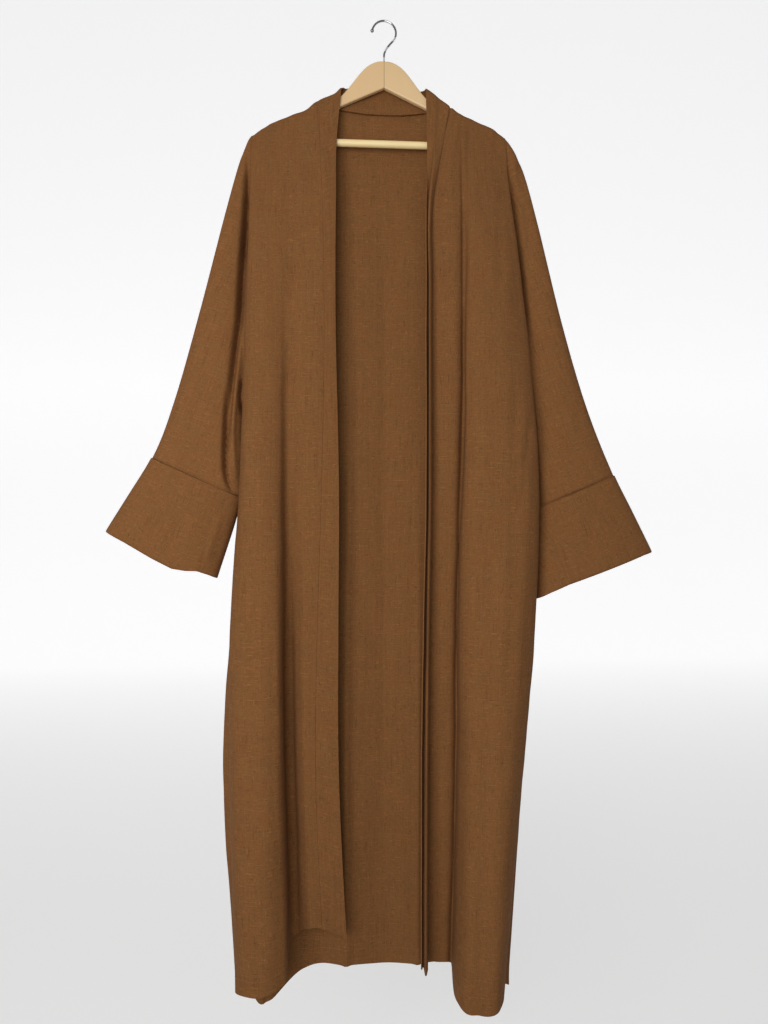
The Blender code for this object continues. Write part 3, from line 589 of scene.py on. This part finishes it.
def sleeve_cut(table, places, mirror, folds, stand_offs=None, wave=None):
    """Rings of points round a sleeve, one for each place along it. Its first ring is the armhole's own edge,
    and over the arm's end it is round like the shoulder. Its flat cloth is measured along the sleeve and out
    from its upper edge, to one side for the front and to the other for the back."""
    angle = ring_angles(table, MIDDLE_RING, SLEEVE_CELL[0])
    share = (1 - np.cos(angle)) / 2
    swell = np.abs(np.sin(angle))**RING_BLUNTNESS
    front_half = np.sin(angle) >= 0
    to_wall = np.where(front_half, -1.0, 1.0)
    rings = []
    for index, place in enumerate(places):
        stand_off = stand_offs[index] if stand_offs is not None else 0.0
        start, end, front, back, edge = sleeve_ring(table, place, stand_off)
        across = start[0] + (end[0] - start[0]) * share
        drops = start[1] + (end[1] - start[1]) * share
        depth = edge * np.sin(angle / 2)**2 + to_wall * np.where(front_half, front, back) * swell
        line = folds.body_edge(drops, front_half)
        reach = ARMHOLE_BLEND[0] + np.ptp(ARMHOLE_BLEND) * ease(share / BLEND_SHARE)
        fit = ease(1 - place / reach)
        across = across * (1 - fit) + line[0] * fit
        depth = depth * (1 - fit) + line[1] * fit
        turn = np.clip((drops - start[1]) / ROLL, 0, 1)
        over_arm = np.sqrt(1 - (1 - turn)**2) * ease((SLEEVE_FREE_DROP - drops + start[1]) / FREE_DROP)
        cover = ROLL * over_arm * ease((ARM_END_COVER[1] - across) / np.ptp(ARM_END_COVER))
        depth = to_wall * np.maximum(depth * to_wall, cover * (1 - fit) + depth * to_wall * fit)
        if wave is not None:
            fall = np.interp(share, *wave) * ease(place - CUFF_TOP_RING)
            drops = drops + fall * np.where(front_half, 1.0, BACK_WAVE)
        rings.append(np.stack((across, depth, -drops), axis=1))
    points = np.array(rings)
    first, last = table[0], table[-1]
    lean = math.atan2(last.outer - first.outer, last.outer_drop - first.outer_drop)
    along = points[..., 0] * math.sin(lean) - points[..., 2] * math.cos(lean)
    head_across, head_drop = SLEEVE_HEAD
    from_top = (head_across - points[..., 0]) * math.cos(lean) - (points[..., 2] + head_drop) * math.sin(lean)
    side = np.where(front_half, 1.0, -1.0)
    flat = np.stack((from_top * side, along), axis=2)
    measure = np.stack((points[..., 0] * side, -points[..., 2]), axis=2)
    ends = np.linalg.norm(points[:, [0]] - points[:, [len(angle) // 2]], axis=2)
    from_edge = np.minimum(share, 1 - share)[None] * ends
    if places[0] == 0:
        from_edge = np.minimum(from_edge, run_along(points))
    points[..., 0] *= mirror
    return Cut(points, flat, measure, from_edge)


def dress_front(name, folds, creases, seed):
    """A front panel, from the band's seam to the side seam and the armhole, and its cloth as it hangs."""
    columns = folds.columns(BAND_SEAM, len(folds.knots) - 1, FRONT_CELL[0])
    cut = hung(hanging_cut(folds, columns, FRONT_CELL[1]), creases, seed)
    return cloth(name, seamed(cut, CLOTH, ("top", "first", "last")), CLOTH), cut


def sleeve_length(table, first, last, spacing):
    """Places along a sleeve, even in real length along its outer edge."""
    fine = np.linspace(first, last, 400)
    run = run_along([sleeve_ring(table, place)[0] for place in fine])
    return np.interp(np.linspace(0, run[-1], round(run[-1] / spacing) + 1), run, fine)


def dress_sleeve(side, table, mirror, folds, creases, seed):
    """A sleeve, open at the armhole and ending just inside the cuff's fold."""
    end = len(table) - 1 - (CUFF_RETURN + 2 * SEAM_GAP) / CUFF_LENGTH
    places = sleeve_length(table, 0, end, SLEEVE_CELL[1])
    cut = hung(sleeve_cut(table, places, mirror, folds), creases, seed, closed=True)
    return cloth("cloth_sleeve_" + side, cut, CLOTH, closed=True)


def dress_cuff(side, table, mirror, folds, creases, seed):
    """A turned-back cuff: down over the sleeve, round its fold and a little way back up inside."""
    fold = len(table) - 1
    down = sleeve_length(table, CUFF_TOP_RING, fold, SLEEVE_CELL[1])
    turn = np.linspace(0, math.pi, 9)[1:]
    round_fold = fold + 0.5 * CUFF_STAND_OFF / CUFF_LENGTH * np.sin(turn)
    back_up = fold - CUFF_RETURN / CUFF_LENGTH * np.array((0.3, 0.65, 1.0))
    places = (down[0], *down, *round_fold, *back_up)
    growing = CUFF_TOP_STAND_OFF + (CUFF_STAND_OFF - CUFF_TOP_STAND_OFF) * ease(2 * (down - down[0]))
    rounded = CUFF_STAND_OFF * (1 + np.cos(turn)) / 2
    stand_offs = (CUFF_EDGE_STAND_OFF, *growing, *rounded, *np.zeros(len(back_up)))
    shares, falls = np.array(CUFF_WAVES[side]).T
    wave = (shares, falls * MM)
    cut = hung(sleeve_cut(table, places, mirror, folds, stand_offs, wave), creases, seed, closed=True)
    return cloth("cloth_cuff_" + side, cut, DOUBLE_CLOTH, closed=True)


# A panel's creases are measured out from the middle, on the back as X is, and down from the hook. A route
# that runs past the hem keeps its depth down to the hem.
RIGHT_FRONT_CREASES = (
    Crease("gutter", ((158, 730), (158, 860), (157, 1000), (155, 1200), (149, 1420), (146, 2000)), 7, -8),
    Crease("soft waist valley", ((154, 500), (156, 620), (157, 740), (157, 900)), 11, -2.6),
    Crease("soft chest valley", ((150, 190), (150, 330), (148, 470), (152, 620)), 16, -1.6),
    Crease("side column's right lip", ((176, 800), (174, 1000), (171, 1250), (162, 1450), (158, 1900)), 6, 2),
    Crease("side column's shallow valley", ((206, 760), (208, 1000), (206, 1250), (198, 1600)), 10, -1.4),
    Crease("underarm pull", ((226, 640), (214, 720), (204, 830)), 7, -1.5),
    Crease("armhole pull", ((203, 240), (190, 360), (180, 480)), 9, -1.2),
    Crease("shoulder pull", ((118, 150), (138, 260), (150, 400)), 9, 0.8),
)
LEFT_FRONT_CREASES = (
    Crease("valley beside the band", ((92, 200), (82, 290), (80, 500), (79, 800), (74, 1150), (72, 1450),
                                      (71, 2100)), 3.2, -6),
    Crease("groove along the band's seam", ((118, 110), (109, 148), (100, 188), (92, 228),
                                            (84, 275)), 2.2, -2.6),
    Crease("pressed line", ((128, 150), (128, 250), (129, 469), (128.5, 631), (126, 745),
                            (122.5, 860)), 2.6, -3.5),
    Crease("soft chest valley", ((144, 120), (139, 220), (134, 340), (131, 520)), 6, -2.4),
    Crease("big column's shallow valley", ((205, 330), (214, 560), (205, 900), (190, 1200)), 13, -1.5),
    Crease("big column's low ridge", ((196, 640), (186, 950), (168, 1300), (150, 1800)), 13, 1.5),
    Crease("underarm pull", ((240, 640), (228, 720), (216, 830)), 7, -1.5),
    Crease("armhole pull", ((196, 240), (188, 360), (184, 500)), 9, -1.3),
)
BACK_CREASES = (
    Crease("right gutter", ((-156, 520), (-166, 800), (-180, 1100), (-192, 1400), (-196, 2000)), 7, 5),
    Crease("near gutter", ((-54, 440), (-58, 800), (-63, 1200), (-62, 2100)), 6.5, -5),
    Crease("far gutter", ((58, 640), (60, 950), (58, 1300), (56, 2200)), 6.5, -4.5),
    Crease("left gutter", ((158, 430), (174, 760), (166, 1150), (154, 1600), (152, 2300)), 6, -6),
    Crease("middle fall", ((0, 190), (2, 560), (1, 1000), (1, 1500)), 10, 1.8),
    Crease("right shoulder pull", ((-180, 230), (-146, 400), (-132, 640)), 10, -2.2),
    Crease("left shoulder pull", ((176, 230), (146, 410), (138, 680)), 10, -2.2),
    Crease("right short fold", ((-116, 860), (-122, 1120), (-126, 1420)), 6, -2.2),
    Crease("left short fold", ((122, 760), (120, 1010), (114, 1260)), 6, -2.4),
    Crease("right side's ridge", ((-236, 900), (-244, 1200), (-238, 1900)), 8, 1.6),
    Crease("left side's ridge", ((236, 820), (222, 1150), (198, 1900)), 8, 1.6),
)
# A sleeve's creases are measured out from the middle and down from the hook, and on its back with a minus
RIGHT_SLEEVE_CREASES = (
    Crease("deep underarm valley", ((220, 190), (223, 292), (226, 350), (231, 410), (236, 500), (247, 600),
                                    (256, 700), (257, 745), (250, 772), (232, 796)), 6, -13),
    Crease("dark of the valley", ((219, 215), (224, 292), (228, 370), (233, 450), (236, 540)), 7, -11),
    Crease("curl above the cuff", ((254, 600), (257.5, 660), (259, 720), (258.5, 745), (255, 764), (249, 777),
                                   (238, 788), (220, 800)), 4, -9),
    Crease("underarm ridge", ((230, 440), (235, 520), (243, 610), (246, 680), (243, 740),
                              (238, 786)), 4.2, 3.8),
    Crease("groove above the cuff", ((434, 700), (379, 725), (308, 757), (237, 789), (180, 815)), 2.2, -4.4),
    Crease("pocket under the arm", ((232, 590), (235, 625), (232, 662)), 3.6, -8),
    Crease("long soft fall", ((285, 380), (312, 520), (338, 640), (352, 740)), 11, -1.5),
    Crease("back underarm valley", ((-228, 260), (-246, 500), (-258, 650), (-262, 760)), 7, -6),
    Crease("back soft fall", ((-280, 380), (-312, 540), (-345, 700)), 11, -2),
)
LEFT_SLEEVE_CREASES = (
    Crease("valley beside the armhole", ((207, 205), (214, 285), (224, 360), (235, 450), (244, 560)), 6, -14),
    Crease("groove above the cuff", ((442, 729), (388, 751), (325, 777.5), (261, 804),
                                     (206, 827)), 2.2, -3.2),
    Crease("under edge's valley", ((244, 470), (258, 620), (266, 720), (270, 790)), 7, -3.5),
    Crease("long soft fall", ((290, 400), (312, 540), (330, 680)), 12, -1.4),
    Crease("back underarm valley", ((-232, 260), (-262, 500), (-276, 650), (-280, 780)), 7, -6),
    Crease("back soft fall", ((-278, 360), (-316, 540), (-352, 700)), 11, -2),
)
RIGHT_CUFF_CREASES = (
    Crease("soft dent", ((320, 800), (338, 850), (345, 900)), 12, -1.5),
    Crease("pull towards the under edge", ((262, 812), (276, 850), (290, 905)), 7, 1.5),
    Crease("back dent", ((-330, 790), (-350, 850), (-356, 900)), 12, -1.5),
)
LEFT_CUFF_CREASES = (
    Crease("soft dent", ((330, 800), (340, 850), (348, 910)), 13, -1.0),
    Crease("back dent", ((-320, 820), (-330, 870), (-336, 930)), 12, -1.5),
)


class Value:
    """A number that varies over a material. Arithmetic on it adds the material's Math nodes."""

    def __init__(self, finish, socket):
        self.finish = finish
        self.socket = socket

    def math(self, operation, *values):
        return self.finish.add("ShaderNodeMath", {"operation": operation}, dict(enumerate(values)))

    def __add__(self, other):
        return self.math("ADD", self, other)

    def __sub__(self, other):
        return self.math("SUBTRACT", self, other)

    def __mul__(self, other):
        return self.math("MULTIPLY", self, other)

    def __rsub__(self, other):
        return self.math("SUBTRACT", other, self)

    __radd__ = __add__
    __rmul__ = __mul__

    def above(self, low, high):
        """0 below low, 1 above high, and soft between them."""
        settings = {"interpolation_type": "SMOOTHSTEP"}
        return self.finish.add("ShaderNodeMapRange", settings, {0: self, 1: low, 2: high})

    def sine(self):
        return self.math("SINE", self)


class Finish:
    """A material with its shader, and the one method that adds its other nodes."""

    def __init__(self, name, **sockets):
        self.material = bpy.data.materials.new(name)
        self.material.use_nodes = True
        self.tree = self.material.node_tree
        self.shader = self.tree.nodes["Principled BSDF"]
        for socket, value in sockets.items():
            self.set(self.shader.inputs[socket.replace("_", " ")], value)

    def set(self, socket, value):
        if isinstance(value, Value):
            self.tree.links.new(value.socket, socket)
        elif isinstance(value, (int, float)) or not hasattr(socket.default_value, "__len__"):
            socket.default_value = value
        else:
            size = len(socket.default_value)
            socket.default_value = (*value, 1.0)[:size]

    def add(self, kind, settings=None, sockets=None, output=0):
        """Adds a node of one kind, with its settings and then the values or links of its sockets."""
        node = self.tree.nodes.new(kind)
        for setting, value in (settings or {}).items():
            setattr(node, setting, value)
        for socket, value in (sockets or {}).items():
            self.set(node.inputs[socket], value)
        return Value(self, node.outputs[output])

    def shade(self, **sockets):
        for socket, value in sockets.items():
            self.set(self.shader.inputs[socket.replace("_", " ")], value)

    def place(self):
        """The place in the object's own metres."""
        return self.add("ShaderNodeTexCoord", output=3)

    def axis(self, place, index):
        """One of a place's three numbers."""
        return self.add("ShaderNodeSeparateXYZ", sockets={0: place}, output=index)

    def noise(self, place, scale, detail=2.0, roughness=0.5):
        sockets = {"Vector": place, "Scale": scale, "Detail": detail, "Roughness": roughness}
        return self.add("ShaderNodeTexNoise", {}, sockets)

    def stretched(self, place, across, down):
        """A place on the cloth, counted in cells of its own width and length, in metres."""
        sockets = {0: place, 1: (1 / across, 1 / down, 1.0)}
        return self.add("ShaderNodeVectorMath", {"operation": "MULTIPLY"}, sockets)

    def mix(self, share, first, second):
        """Goes from one colour to the other."""
        return self.add("ShaderNodeMix", {"data_type": "RGBA"}, {0: share, 6: first, 7: second}, output=2)

    def darker(self, colour, by):
        """A colour scaled by a number."""
        return self.add("ShaderNodeVectorMath", {"operation": "SCALE"}, {0: colour, "Scale": by})

    def bump(self, height, distance, strength=1.0):
        return self.add("ShaderNodeBump", {}, {"Height": height, "Distance": distance, "Strength": strength})


REDDISH = (0.194, 0.080, 0.0262)
OLIVE = (0.186, 0.082, 0.0272)
THREAD_PITCH = 0.95 * MM


def slubbed_linen(name, painted_brightness=1.0):
    """Brown linen: a plain weave with thick and thin threads, and slow changes of its dye, made lighter
    overall by a painted brightness for parts that light shines through.
    """
    linen = Finish(name, Specular_IOR_Level=0.12)
    linen.shade(Sheen_Weight=0.02, Sheen_Roughness=0.5, Sheen_Tint=(0.9, 0.7, 0.5))
    place = linen.add("ShaderNodeUVMap", {"uv_map": "cloth"})

    def slubs(width, length, low, high):
        """Short lengths of thread that stand out, across and down the cloth."""
        across = linen.noise(linen.stretched(place, length, width), 1.0, 1.0).above(low, high)
        down = linen.noise(linen.stretched(place, width, length), 1.0, 1.0).above(low, high)
        return across, down

    thick_across, thick_down = slubs(1.7 * MM, 12 * MM, 0.60, 0.74)
    thin_down, thin_across = slubs(1.5 * MM, 9 * MM, 0.61, 0.75)
    long_across, long_down = slubs(2.2 * MM, 34 * MM, 0.56, 0.80)
    fine = linen.noise(place, 1 / (2.4 * MM), 2.0)
    dye = linen.noise(place, 1 / 0.055, 2.0)
    warm = linen.noise(place, 1 / 0.03, 1.0)
    # The first factor is painted light: it makes a whole material lighter, for the sleeves and cuffs that
    # light shines through
    light = painted_brightness * (0.69 + dye * 0.14 + fine * 0.46)
    light = light + 0.34 * thick_across + 0.24 * thick_down - 0.30 * thin_down - 0.22 * thin_across
    streaks = linen.noise(linen.stretched(place, 4.5 * MM, 110 * MM), 1.0, 2.0)
    light = light + 0.20 * long_across - 0.20 * long_down + 0.20 * (streaks - 0.5)
    colour = linen.mix(warm.above(0.2, 0.8), OLIVE, REDDISH)
    linen.shade(Base_Color=linen.darker(colour, light), Roughness=0.84 + fine * 0.12)
    turns = linen.stretched(place, THREAD_PITCH / math.pi, THREAD_PITCH / math.pi)
    weave = linen.axis(turns, 0).sine() * linen.axis(turns, 1).sine()
    height = weave * 0.35 + fine * 0.8 + thick_across * 0.9 + thick_down * 0.6
    linen.shade(Normal=linen.bump(height, 0.3 * MM, 0.7))
    return linen.material


def sewing_thread(name):
    """Matt thread, a little lighter than the cloth."""
    thread = Finish(name, Specular_IOR_Level=0.2)
    twist = thread.noise(thread.place(), 900.0, 1.0)
    thread.shade(Base_Color=thread.darker((0.30, 0.135, 0.05), 0.8 + twist * 0.4))
    thread.shade(Roughness=0.7 + twist * 0.2)
    return thread.material


GLUE_LINE = 0.9 * MM


def satin_wood(name, light, dark, joint=0.0):
    """Pale varnished wood with its grain along the arm, darker where the two arms are glued together."""
    wood = Finish(name, Coat_Weight=0.3, Coat_Roughness=0.25)
    place = wood.place()
    grain = wood.noise(wood.stretched(place, 0.12, 0.006), 1.0, 3.0, 0.5)
    pores = wood.noise(wood.stretched(place, 0.016, 0.0009), 1.0, 1.0)
    shade = wood.noise(wood.stretched(place, 0.05, 0.05), 1.0, 1.0)
    colour = wood.mix(grain.above(0.25, 0.8) * 0.6 + shade * 0.4, light, dark)
    across = wood.axis(place, 0)
    glue_line = (1 - (across * across).above(0.0, GLUE_LINE**2)) * joint
    wood.shade(Base_Color=wood.darker(colour, (0.97 + pores * 0.06) * (1 - glue_line)))
    wood.shade(Roughness=0.36 + grain * 0.14)
    wood.shade(Normal=wood.bump(grain * 0.4 + pores * 0.3, 0.1 * MM, 0.2))
    return wood.material


# The hook's painted highlights: the pitch and start of the painted bright gleams along its height, and the
# heights where they end
PAINTED_GLEAM_PITCH = 17 * MM
PAINTED_GLEAM_START = math.pi * (0.5 + 2 * 28.8 / 17)
PAINTED_GLEAMS_END = (-0.026, -0.021)


def chrome_with_painted_reflections(name):
    """Polished plating whose colour holds painted reflections: painted dark over its arc, with two painted
    bright gleams as painted highlights on its bend, and faint wipe marks.
    """
    chrome = Finish(name, Metallic=1.0)
    place = chrome.place()
    height = chrome.axis(place, 2)
    painted_gleam = (height * (2 * math.pi / PAINTED_GLEAM_PITCH) + PAINTED_GLEAM_START).sine().above(0.0, 0.5)
    painted_gleam = painted_gleam * (1 - height.above(*PAINTED_GLEAMS_END))
    marks = chrome.noise(place, 90.0, 2.0)
    # A dark colour as painted reflection, with the gleams added into it as painted highlights; the wipe marks
    # are the plating's own
    chrome.shade(Base_Color=chrome.darker((0.96, 0.96, 0.98), 0.22 + marks * 0.12 + painted_gleam * 0.72))
    chrome.shade(Roughness=0.10 + marks * 0.1)
    return chrome.material


def arm_outline(side):
    """The outline of one arm, across and down: over its crown, along the shoulder, round its end and back."""
    crown = np.array(ARM_CROWN) * MM
    crown_end = crown[-1, 0]
    near = np.linspace(0, crown_end, 30)
    crown = np.stack((near, smooth(crown[:, 0], crown[:, 1], near)), axis=1)
    reach = ARM_REACH[side]
    far = np.linspace(ARM_TOP_FROM, reach - ARM_TIP, 20)
    shoulder = np.stack((far, shoulder_drop(side * far) + ARM_CLEARANCE), axis=1)
    tip = shoulder[-1]
    round_end = np.array(ARM_END) * MM + tip
    underside = np.array(ARM_UNDERSIDE) * MM
    return np.concatenate((crown, shoulder, round_end, underside))


def wooden_arm(name, side):
    """Half of the hanger: its outline filled, given its thickness, rounded, and cut square at the joint."""
    outline = arm_outline(side)
    past_joint = np.array(((-JOINT_SPARE, outline[-1, 1]), (-JOINT_SPARE, outline[0, 1])))
    outline = np.concatenate((outline, past_joint))
    bpy.ops.mesh.primitive_circle_add(vertices=len(outline), radius=1, fill_type="NGON")
    piece = bpy.context.object
    piece.name = name
    for vertex, (across, drop) in zip(piece.data.vertices, outline):
        vertex.co = (side * across, -ARM_THICK / 2, -drop)
    edit_all(bpy.ops.mesh.extrude_region_move, TRANSFORM_OT_translate={"value": (0, ARM_THICK, 0)})
    bevel = piece.modifiers.new("rounded edges", "BEVEL")
    bevel.width = ARM_ROUNDING
    bevel.segments = 6
    bevel.limit_method = "ANGLE"
    bevel.angle_limit = math.radians(50)
    apply_modifiers(piece)
    joint = {"plane_co": (side * JOINT_GAP, 0, 0), "plane_no": (side, 0, 0)}
    edit_all(bpy.ops.mesh.bisect, use_fill=True, clear_inner=True, **joint)
    bpy.ops.object.shade_smooth_by_angle(angle=math.radians(35))
    return piece


def give_material(piece, material):
    """Gives a piece one material all over."""
    piece.data.materials.clear()
    piece.data.materials.append(material)


def one_stitch():
    """The form of one stitch: a short thread that is pulled down at both ends."""
    bpy.ops.mesh.primitive_ico_sphere_add(subdivisions=1, radius=1.0)
    bead = bpy.context.object
    bpy.ops.transform.resize(value=STITCH, center_override=(0, 0, 0))
    bpy.ops.object.transform_apply(location=False, rotation=False, scale=True)
    bpy.ops.object.shade_smooth()
    return bead


def stitch_line(name, route, facing, material):
    """A line of stitches, copies of one, along a route that lies on cloth."""
    run = run_along(route)
    at = np.arange(STITCH_PITCH, run[-1] - STITCH_PITCH, STITCH_PITCH)
    places = read_along(run, route, at)
    along = read_along(run, route, at + 1 * MM) - places
    up = read_along(run, facing, at)
    first = one_stitch()
    bpy.ops.object.select_all(action="DESELECT")
    for place, way, out in zip(places, along, up):
        stitch = bpy.data.objects.new(name, first.data)
        way = way / np.linalg.norm(way)
        side = np.cross(out, way)
        side /= np.linalg.norm(side)
        turned = np.eye(4)
        turned[:3, 0], turned[:3, 1], turned[:3, 2], turned[:3, 3] = way, side, np.cross(way, side), place
        stitch.matrix_world = Matrix(turned)
        bpy.context.scene.collection.objects.link(stitch)
        stitch.select_set(True)
    bpy.context.view_layer.objects.active = stitch
    bpy.ops.object.make_single_user(type="SELECTED_OBJECTS", object=True, obdata=True)
    bpy.ops.object.join()
    bpy.ops.object.transform_apply(location=True, rotation=True, scale=True)
    thread = bpy.context.object
    bpy.data.objects.remove(first)
    thread.name = name
    give_material(thread, material)
    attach(thread, "root")
    return thread


def along_drop(cut, drops, wall, side):
    """A route over a panel at one drop in each column, on its outer face or, where side is -1, its inner."""
    out = outward(cut.points) * side
    route, facing = [], []
    for column, drop in enumerate(drops):
        line = cut.points[:, column]
        way = read_along(-line[:, 2], out[:, column], drop)
        route.append(read_along(-line[:, 2], line, drop) + way * (wall / 2 + STITCH_LIFT))
        facing.append(way)
    return np.array(route), np.array(facing)


def wear(piece, material, node):
    """Gives a piece its material, and lets it stand for its node."""
    give_material(piece, material)
    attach(piece, "root")
    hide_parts(node)


right_folds = Folds(RIGHT_FRONT, mirror=-1.0)
left_folds = Folds(LEFT_FRONT)
back_folds = Folds(back_table(), to_viewer=1.0)

body_linen = slubbed_linen("brown slubbed linen")
# Lit copies of the body's linen: the sleeves and cuffs are painted lighter, as painted light for the light
# that comes through them from behind
sleeve_linen_painted_lighter = slubbed_linen("brown slubbed linen of the sleeves, painted lighter", 1.06)
cuff_linen_painted_lighter = slubbed_linen("brown slubbed linen of the cuffs, painted lighter", 1.04)

front_right, right_cut = dress_front("cloth_front_right", right_folds, RIGHT_FRONT_CREASES, 3)
front_left, left_cut = dress_front("cloth_front_left", left_folds, LEFT_FRONT_CREASES, 5)
wear(front_right, body_linen, "front_right")
wear(front_left, body_linen, "front_left")

back_columns = back_folds.columns(0, len(back_folds.knots) - 1, BACK_CELL[0])
back_panel = hanging_cut(back_folds, back_columns, BACK_CELL[1], back_top, armholes=True)
back_panel = hung(back_panel, BACK_CREASES, 7)
back = cloth("cloth_back", seamed(back_panel, CLOTH, ("top", "first", "last")), CLOTH)
wear(back, body_linen, "back")

for side, folds, ridge in (("right", right_folds, "right ridge"), ("left", left_folds, "left ridge")):
    cut = hung(band_cut(folds, back_folds, ridge), (), 11, height=0.3 * MM)
    band = cloth("cloth_band_" + side, seamed(cut, DOUBLE_CLOTH, ("last",)), DOUBLE_CLOTH)
    wear(band, body_linen, "band_" + side)

sleeves, cuffs = [], []
for side, table, mirror, folds, creases, cuff_creases in (
        ("right", RIGHT_SLEEVE, -1.0, right_folds, RIGHT_SLEEVE_CREASES, RIGHT_CUFF_CREASES),
        ("left", LEFT_SLEEVE, 1.0, left_folds, LEFT_SLEEVE_CREASES, LEFT_CUFF_CREASES)):
    sleeve = dress_sleeve(side, table, mirror, folds, creases, 13)
    wear(sleeve, sleeve_linen_painted_lighter, "sleeve_" + side)
    sleeves.append(sleeve)
    cuff = dress_cuff(side, table, mirror, folds, cuff_creases, 17)
    wear(cuff, cuff_linen_painted_lighter, "cuff_" + side)
    cuffs.append(cuff)

# The hems' stitches, and the line below the neck seam on the back's inner face
thread = sewing_thread("brown sewing thread")
for side, cut in (("right", right_cut), ("left", left_cut)):
    drops = -cut.points[-1, :, 2] - HEM_DEPTH[side]
    stitch_line("hem_stitches_" + side, *along_drop(cut, drops, CLOTH, 1), thread)
drops = -back_panel.points[-1, :, 2] - HEM_DEPTH["back"]
[
    stitch_line("hem_stitches_back_" + face, *along_drop(back_panel, drops, CLOTH, side), thread)
    for face, side in (("outer", 1), ("inner", -1))
]
middle = np.abs(back_panel.points[0, :, 0]) < NECK_HALF
neck_panel = back_panel._replace(points=back_panel.points[:, middle])
drops = NECK_LINE[0] - NECK_LINE[1] * (neck_panel.points[0, :, 0] / NECK_LINE[2])**2
neck_stitches = stitch_line("neck_stitches", *along_drop(neck_panel, drops, CLOTH, -1), thread)

# The two arms are lit and shaded copies of one wood: the right arm is painted a little darker as painted
# shade, the left a little lighter as painted light
wood_right_painted_shaded = satin_wood("pale beech of the right arm, painted darker as in shade", (0.77, 0.53, 0.28), (0.69, 0.455, 0.22), joint=0.5)
wood_left_painted_lit = satin_wood("pale beech of the left arm, painted lighter as if lit", (0.79, 0.555, 0.30), (0.715, 0.48, 0.24), joint=0.3)
bar_wood = satin_wood("yellow beech of the bar", (0.95, 0.76, 0.40), (0.88, 0.67, 0.32))
chrome = chrome_with_painted_reflections("chromed wire with painted reflections")
give_material(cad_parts["hanger_bar"], bar_wood)
give_material(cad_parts["hanger_hook"], chrome)
for name, side, material in (("right", -1.0, wood_right_painted_shaded), ("left", 1.0, wood_left_painted_lit)):
    wear(wooden_arm("wooden_arm_" + name, side), material, "hanger_arm_" + name)

# The studio: a pale floor that curves up into a far backdrop, painted to glow as painted light and painted
# darker towards the viewer as painted shade, a bright sky all round and one large soft light
FLOOR = -1.95
WALL = 7.0
COVE = 2.5
SWEEP_REACH = 9.0
SWEEP_WIDTH = 24
# Where the sweep's painted shade changes: from its darker near colour to its far one, and from the darkest
# colour in front of the view
PAINTED_SHADE_CHANGES = (-0.6, 6.6)
PAINTED_SHADE_FRONT = (-0.1, 0.4)


def studio_paint(name, front, near, far, painted_glow):
    """Pale paint that glows as painted light, with painted shade: darker near the viewer, on the floor, and
    darkest in front of the view.
    """
    paint = Finish(name, Roughness=0.9, Emission_Strength=painted_glow)
    place = paint.place()
    depth = paint.axis(place, 1)
    share = depth.above(*PAINTED_SHADE_CHANGES) + paint.noise(place, 1.2, 1.0) * 0.02
    colour = paint.mix(depth.above(*PAINTED_SHADE_FRONT), front, paint.mix(share, near, far))
    paint.shade(Base_Color=colour, Emission_Color=colour)
    return paint.material


def studio_sweep():
    """A floor and backdrop in one, as one sheet that is swept up behind."""
    bend = np.linspace(0, math.pi / 2, 13)
    cove = [(WALL + COVE * (math.sin(a) - 1), FLOOR + COVE * (1 - math.cos(a))) for a in bend]
    profile = [(-SWEEP_REACH, FLOOR), *cove, (WALL, SWEEP_REACH)]
    bpy.ops.mesh.primitive_grid_add(x_subdivisions=1, y_subdivisions=len(profile) - 1, size=1)
    sweep = bpy.context.object
    sweep.name = "studio_sweep"
    for vertex in sweep.data.vertices:
        y, z = profile[round((vertex.co.y + 0.5) * (len(profile) - 1))]
        vertex.co = (vertex.co.x * SWEEP_WIDTH, y, z)
    bpy.ops.object.shade_smooth()
    # Painted shade darkest in front and darker near, pale far, and a painted glow that lights the cloth like
    # a lamp
    paint = studio_paint("pale studio paint with painted glow and shade", (0.16,) * 3, (0.58,) * 3, (0.88, 0.88, 0.89), 0.565)
    give_material(sweep, paint)


studio_sweep()

scene = bpy.context.scene
world = bpy.data.worlds.new("bright room")
scene.world = world
world.use_nodes = True
sky = world.node_tree.nodes["Background"]
sky.inputs["Color"].default_value = (1.0, 0.995, 0.985, 1.0)
sky.inputs["Strength"].default_value = 0.40


def soft_light(name, size, power, place, target):
    """A square light that faces its target."""
    light = bpy.data.lights.new(name, "AREA")
    light.shape = "SQUARE"
    light.size = size
    light.energy = power
    lamp = bpy.data.objects.new(name, light)
    lamp.location = place
    way = np.array(target) - np.array(place)
    flat = math.hypot(way[0], way[1])
    lamp.rotation_euler = (math.atan2(flat, -way[2]), 0, math.atan2(-way[0], way[1]))
    scene.collection.objects.link(lamp)


soft_light("window light", 1.2, 24.3, (-0.6, -1.6, -0.66), (0, 0, -0.68))

view = bpy.data.cameras.new("photo view")
view.lens = 27.04
view.sensor_width = 36.0
camera = bpy.data.objects.new("photo view", view)
camera.location = (-0.0891, -1.2735, -0.8134)
camera.rotation_euler = (math.pi / 2, 0, math.radians(-4))
scene.collection.objects.link(camera)
scene.camera = camera
scene.view_settings.view_transform = "Standard"
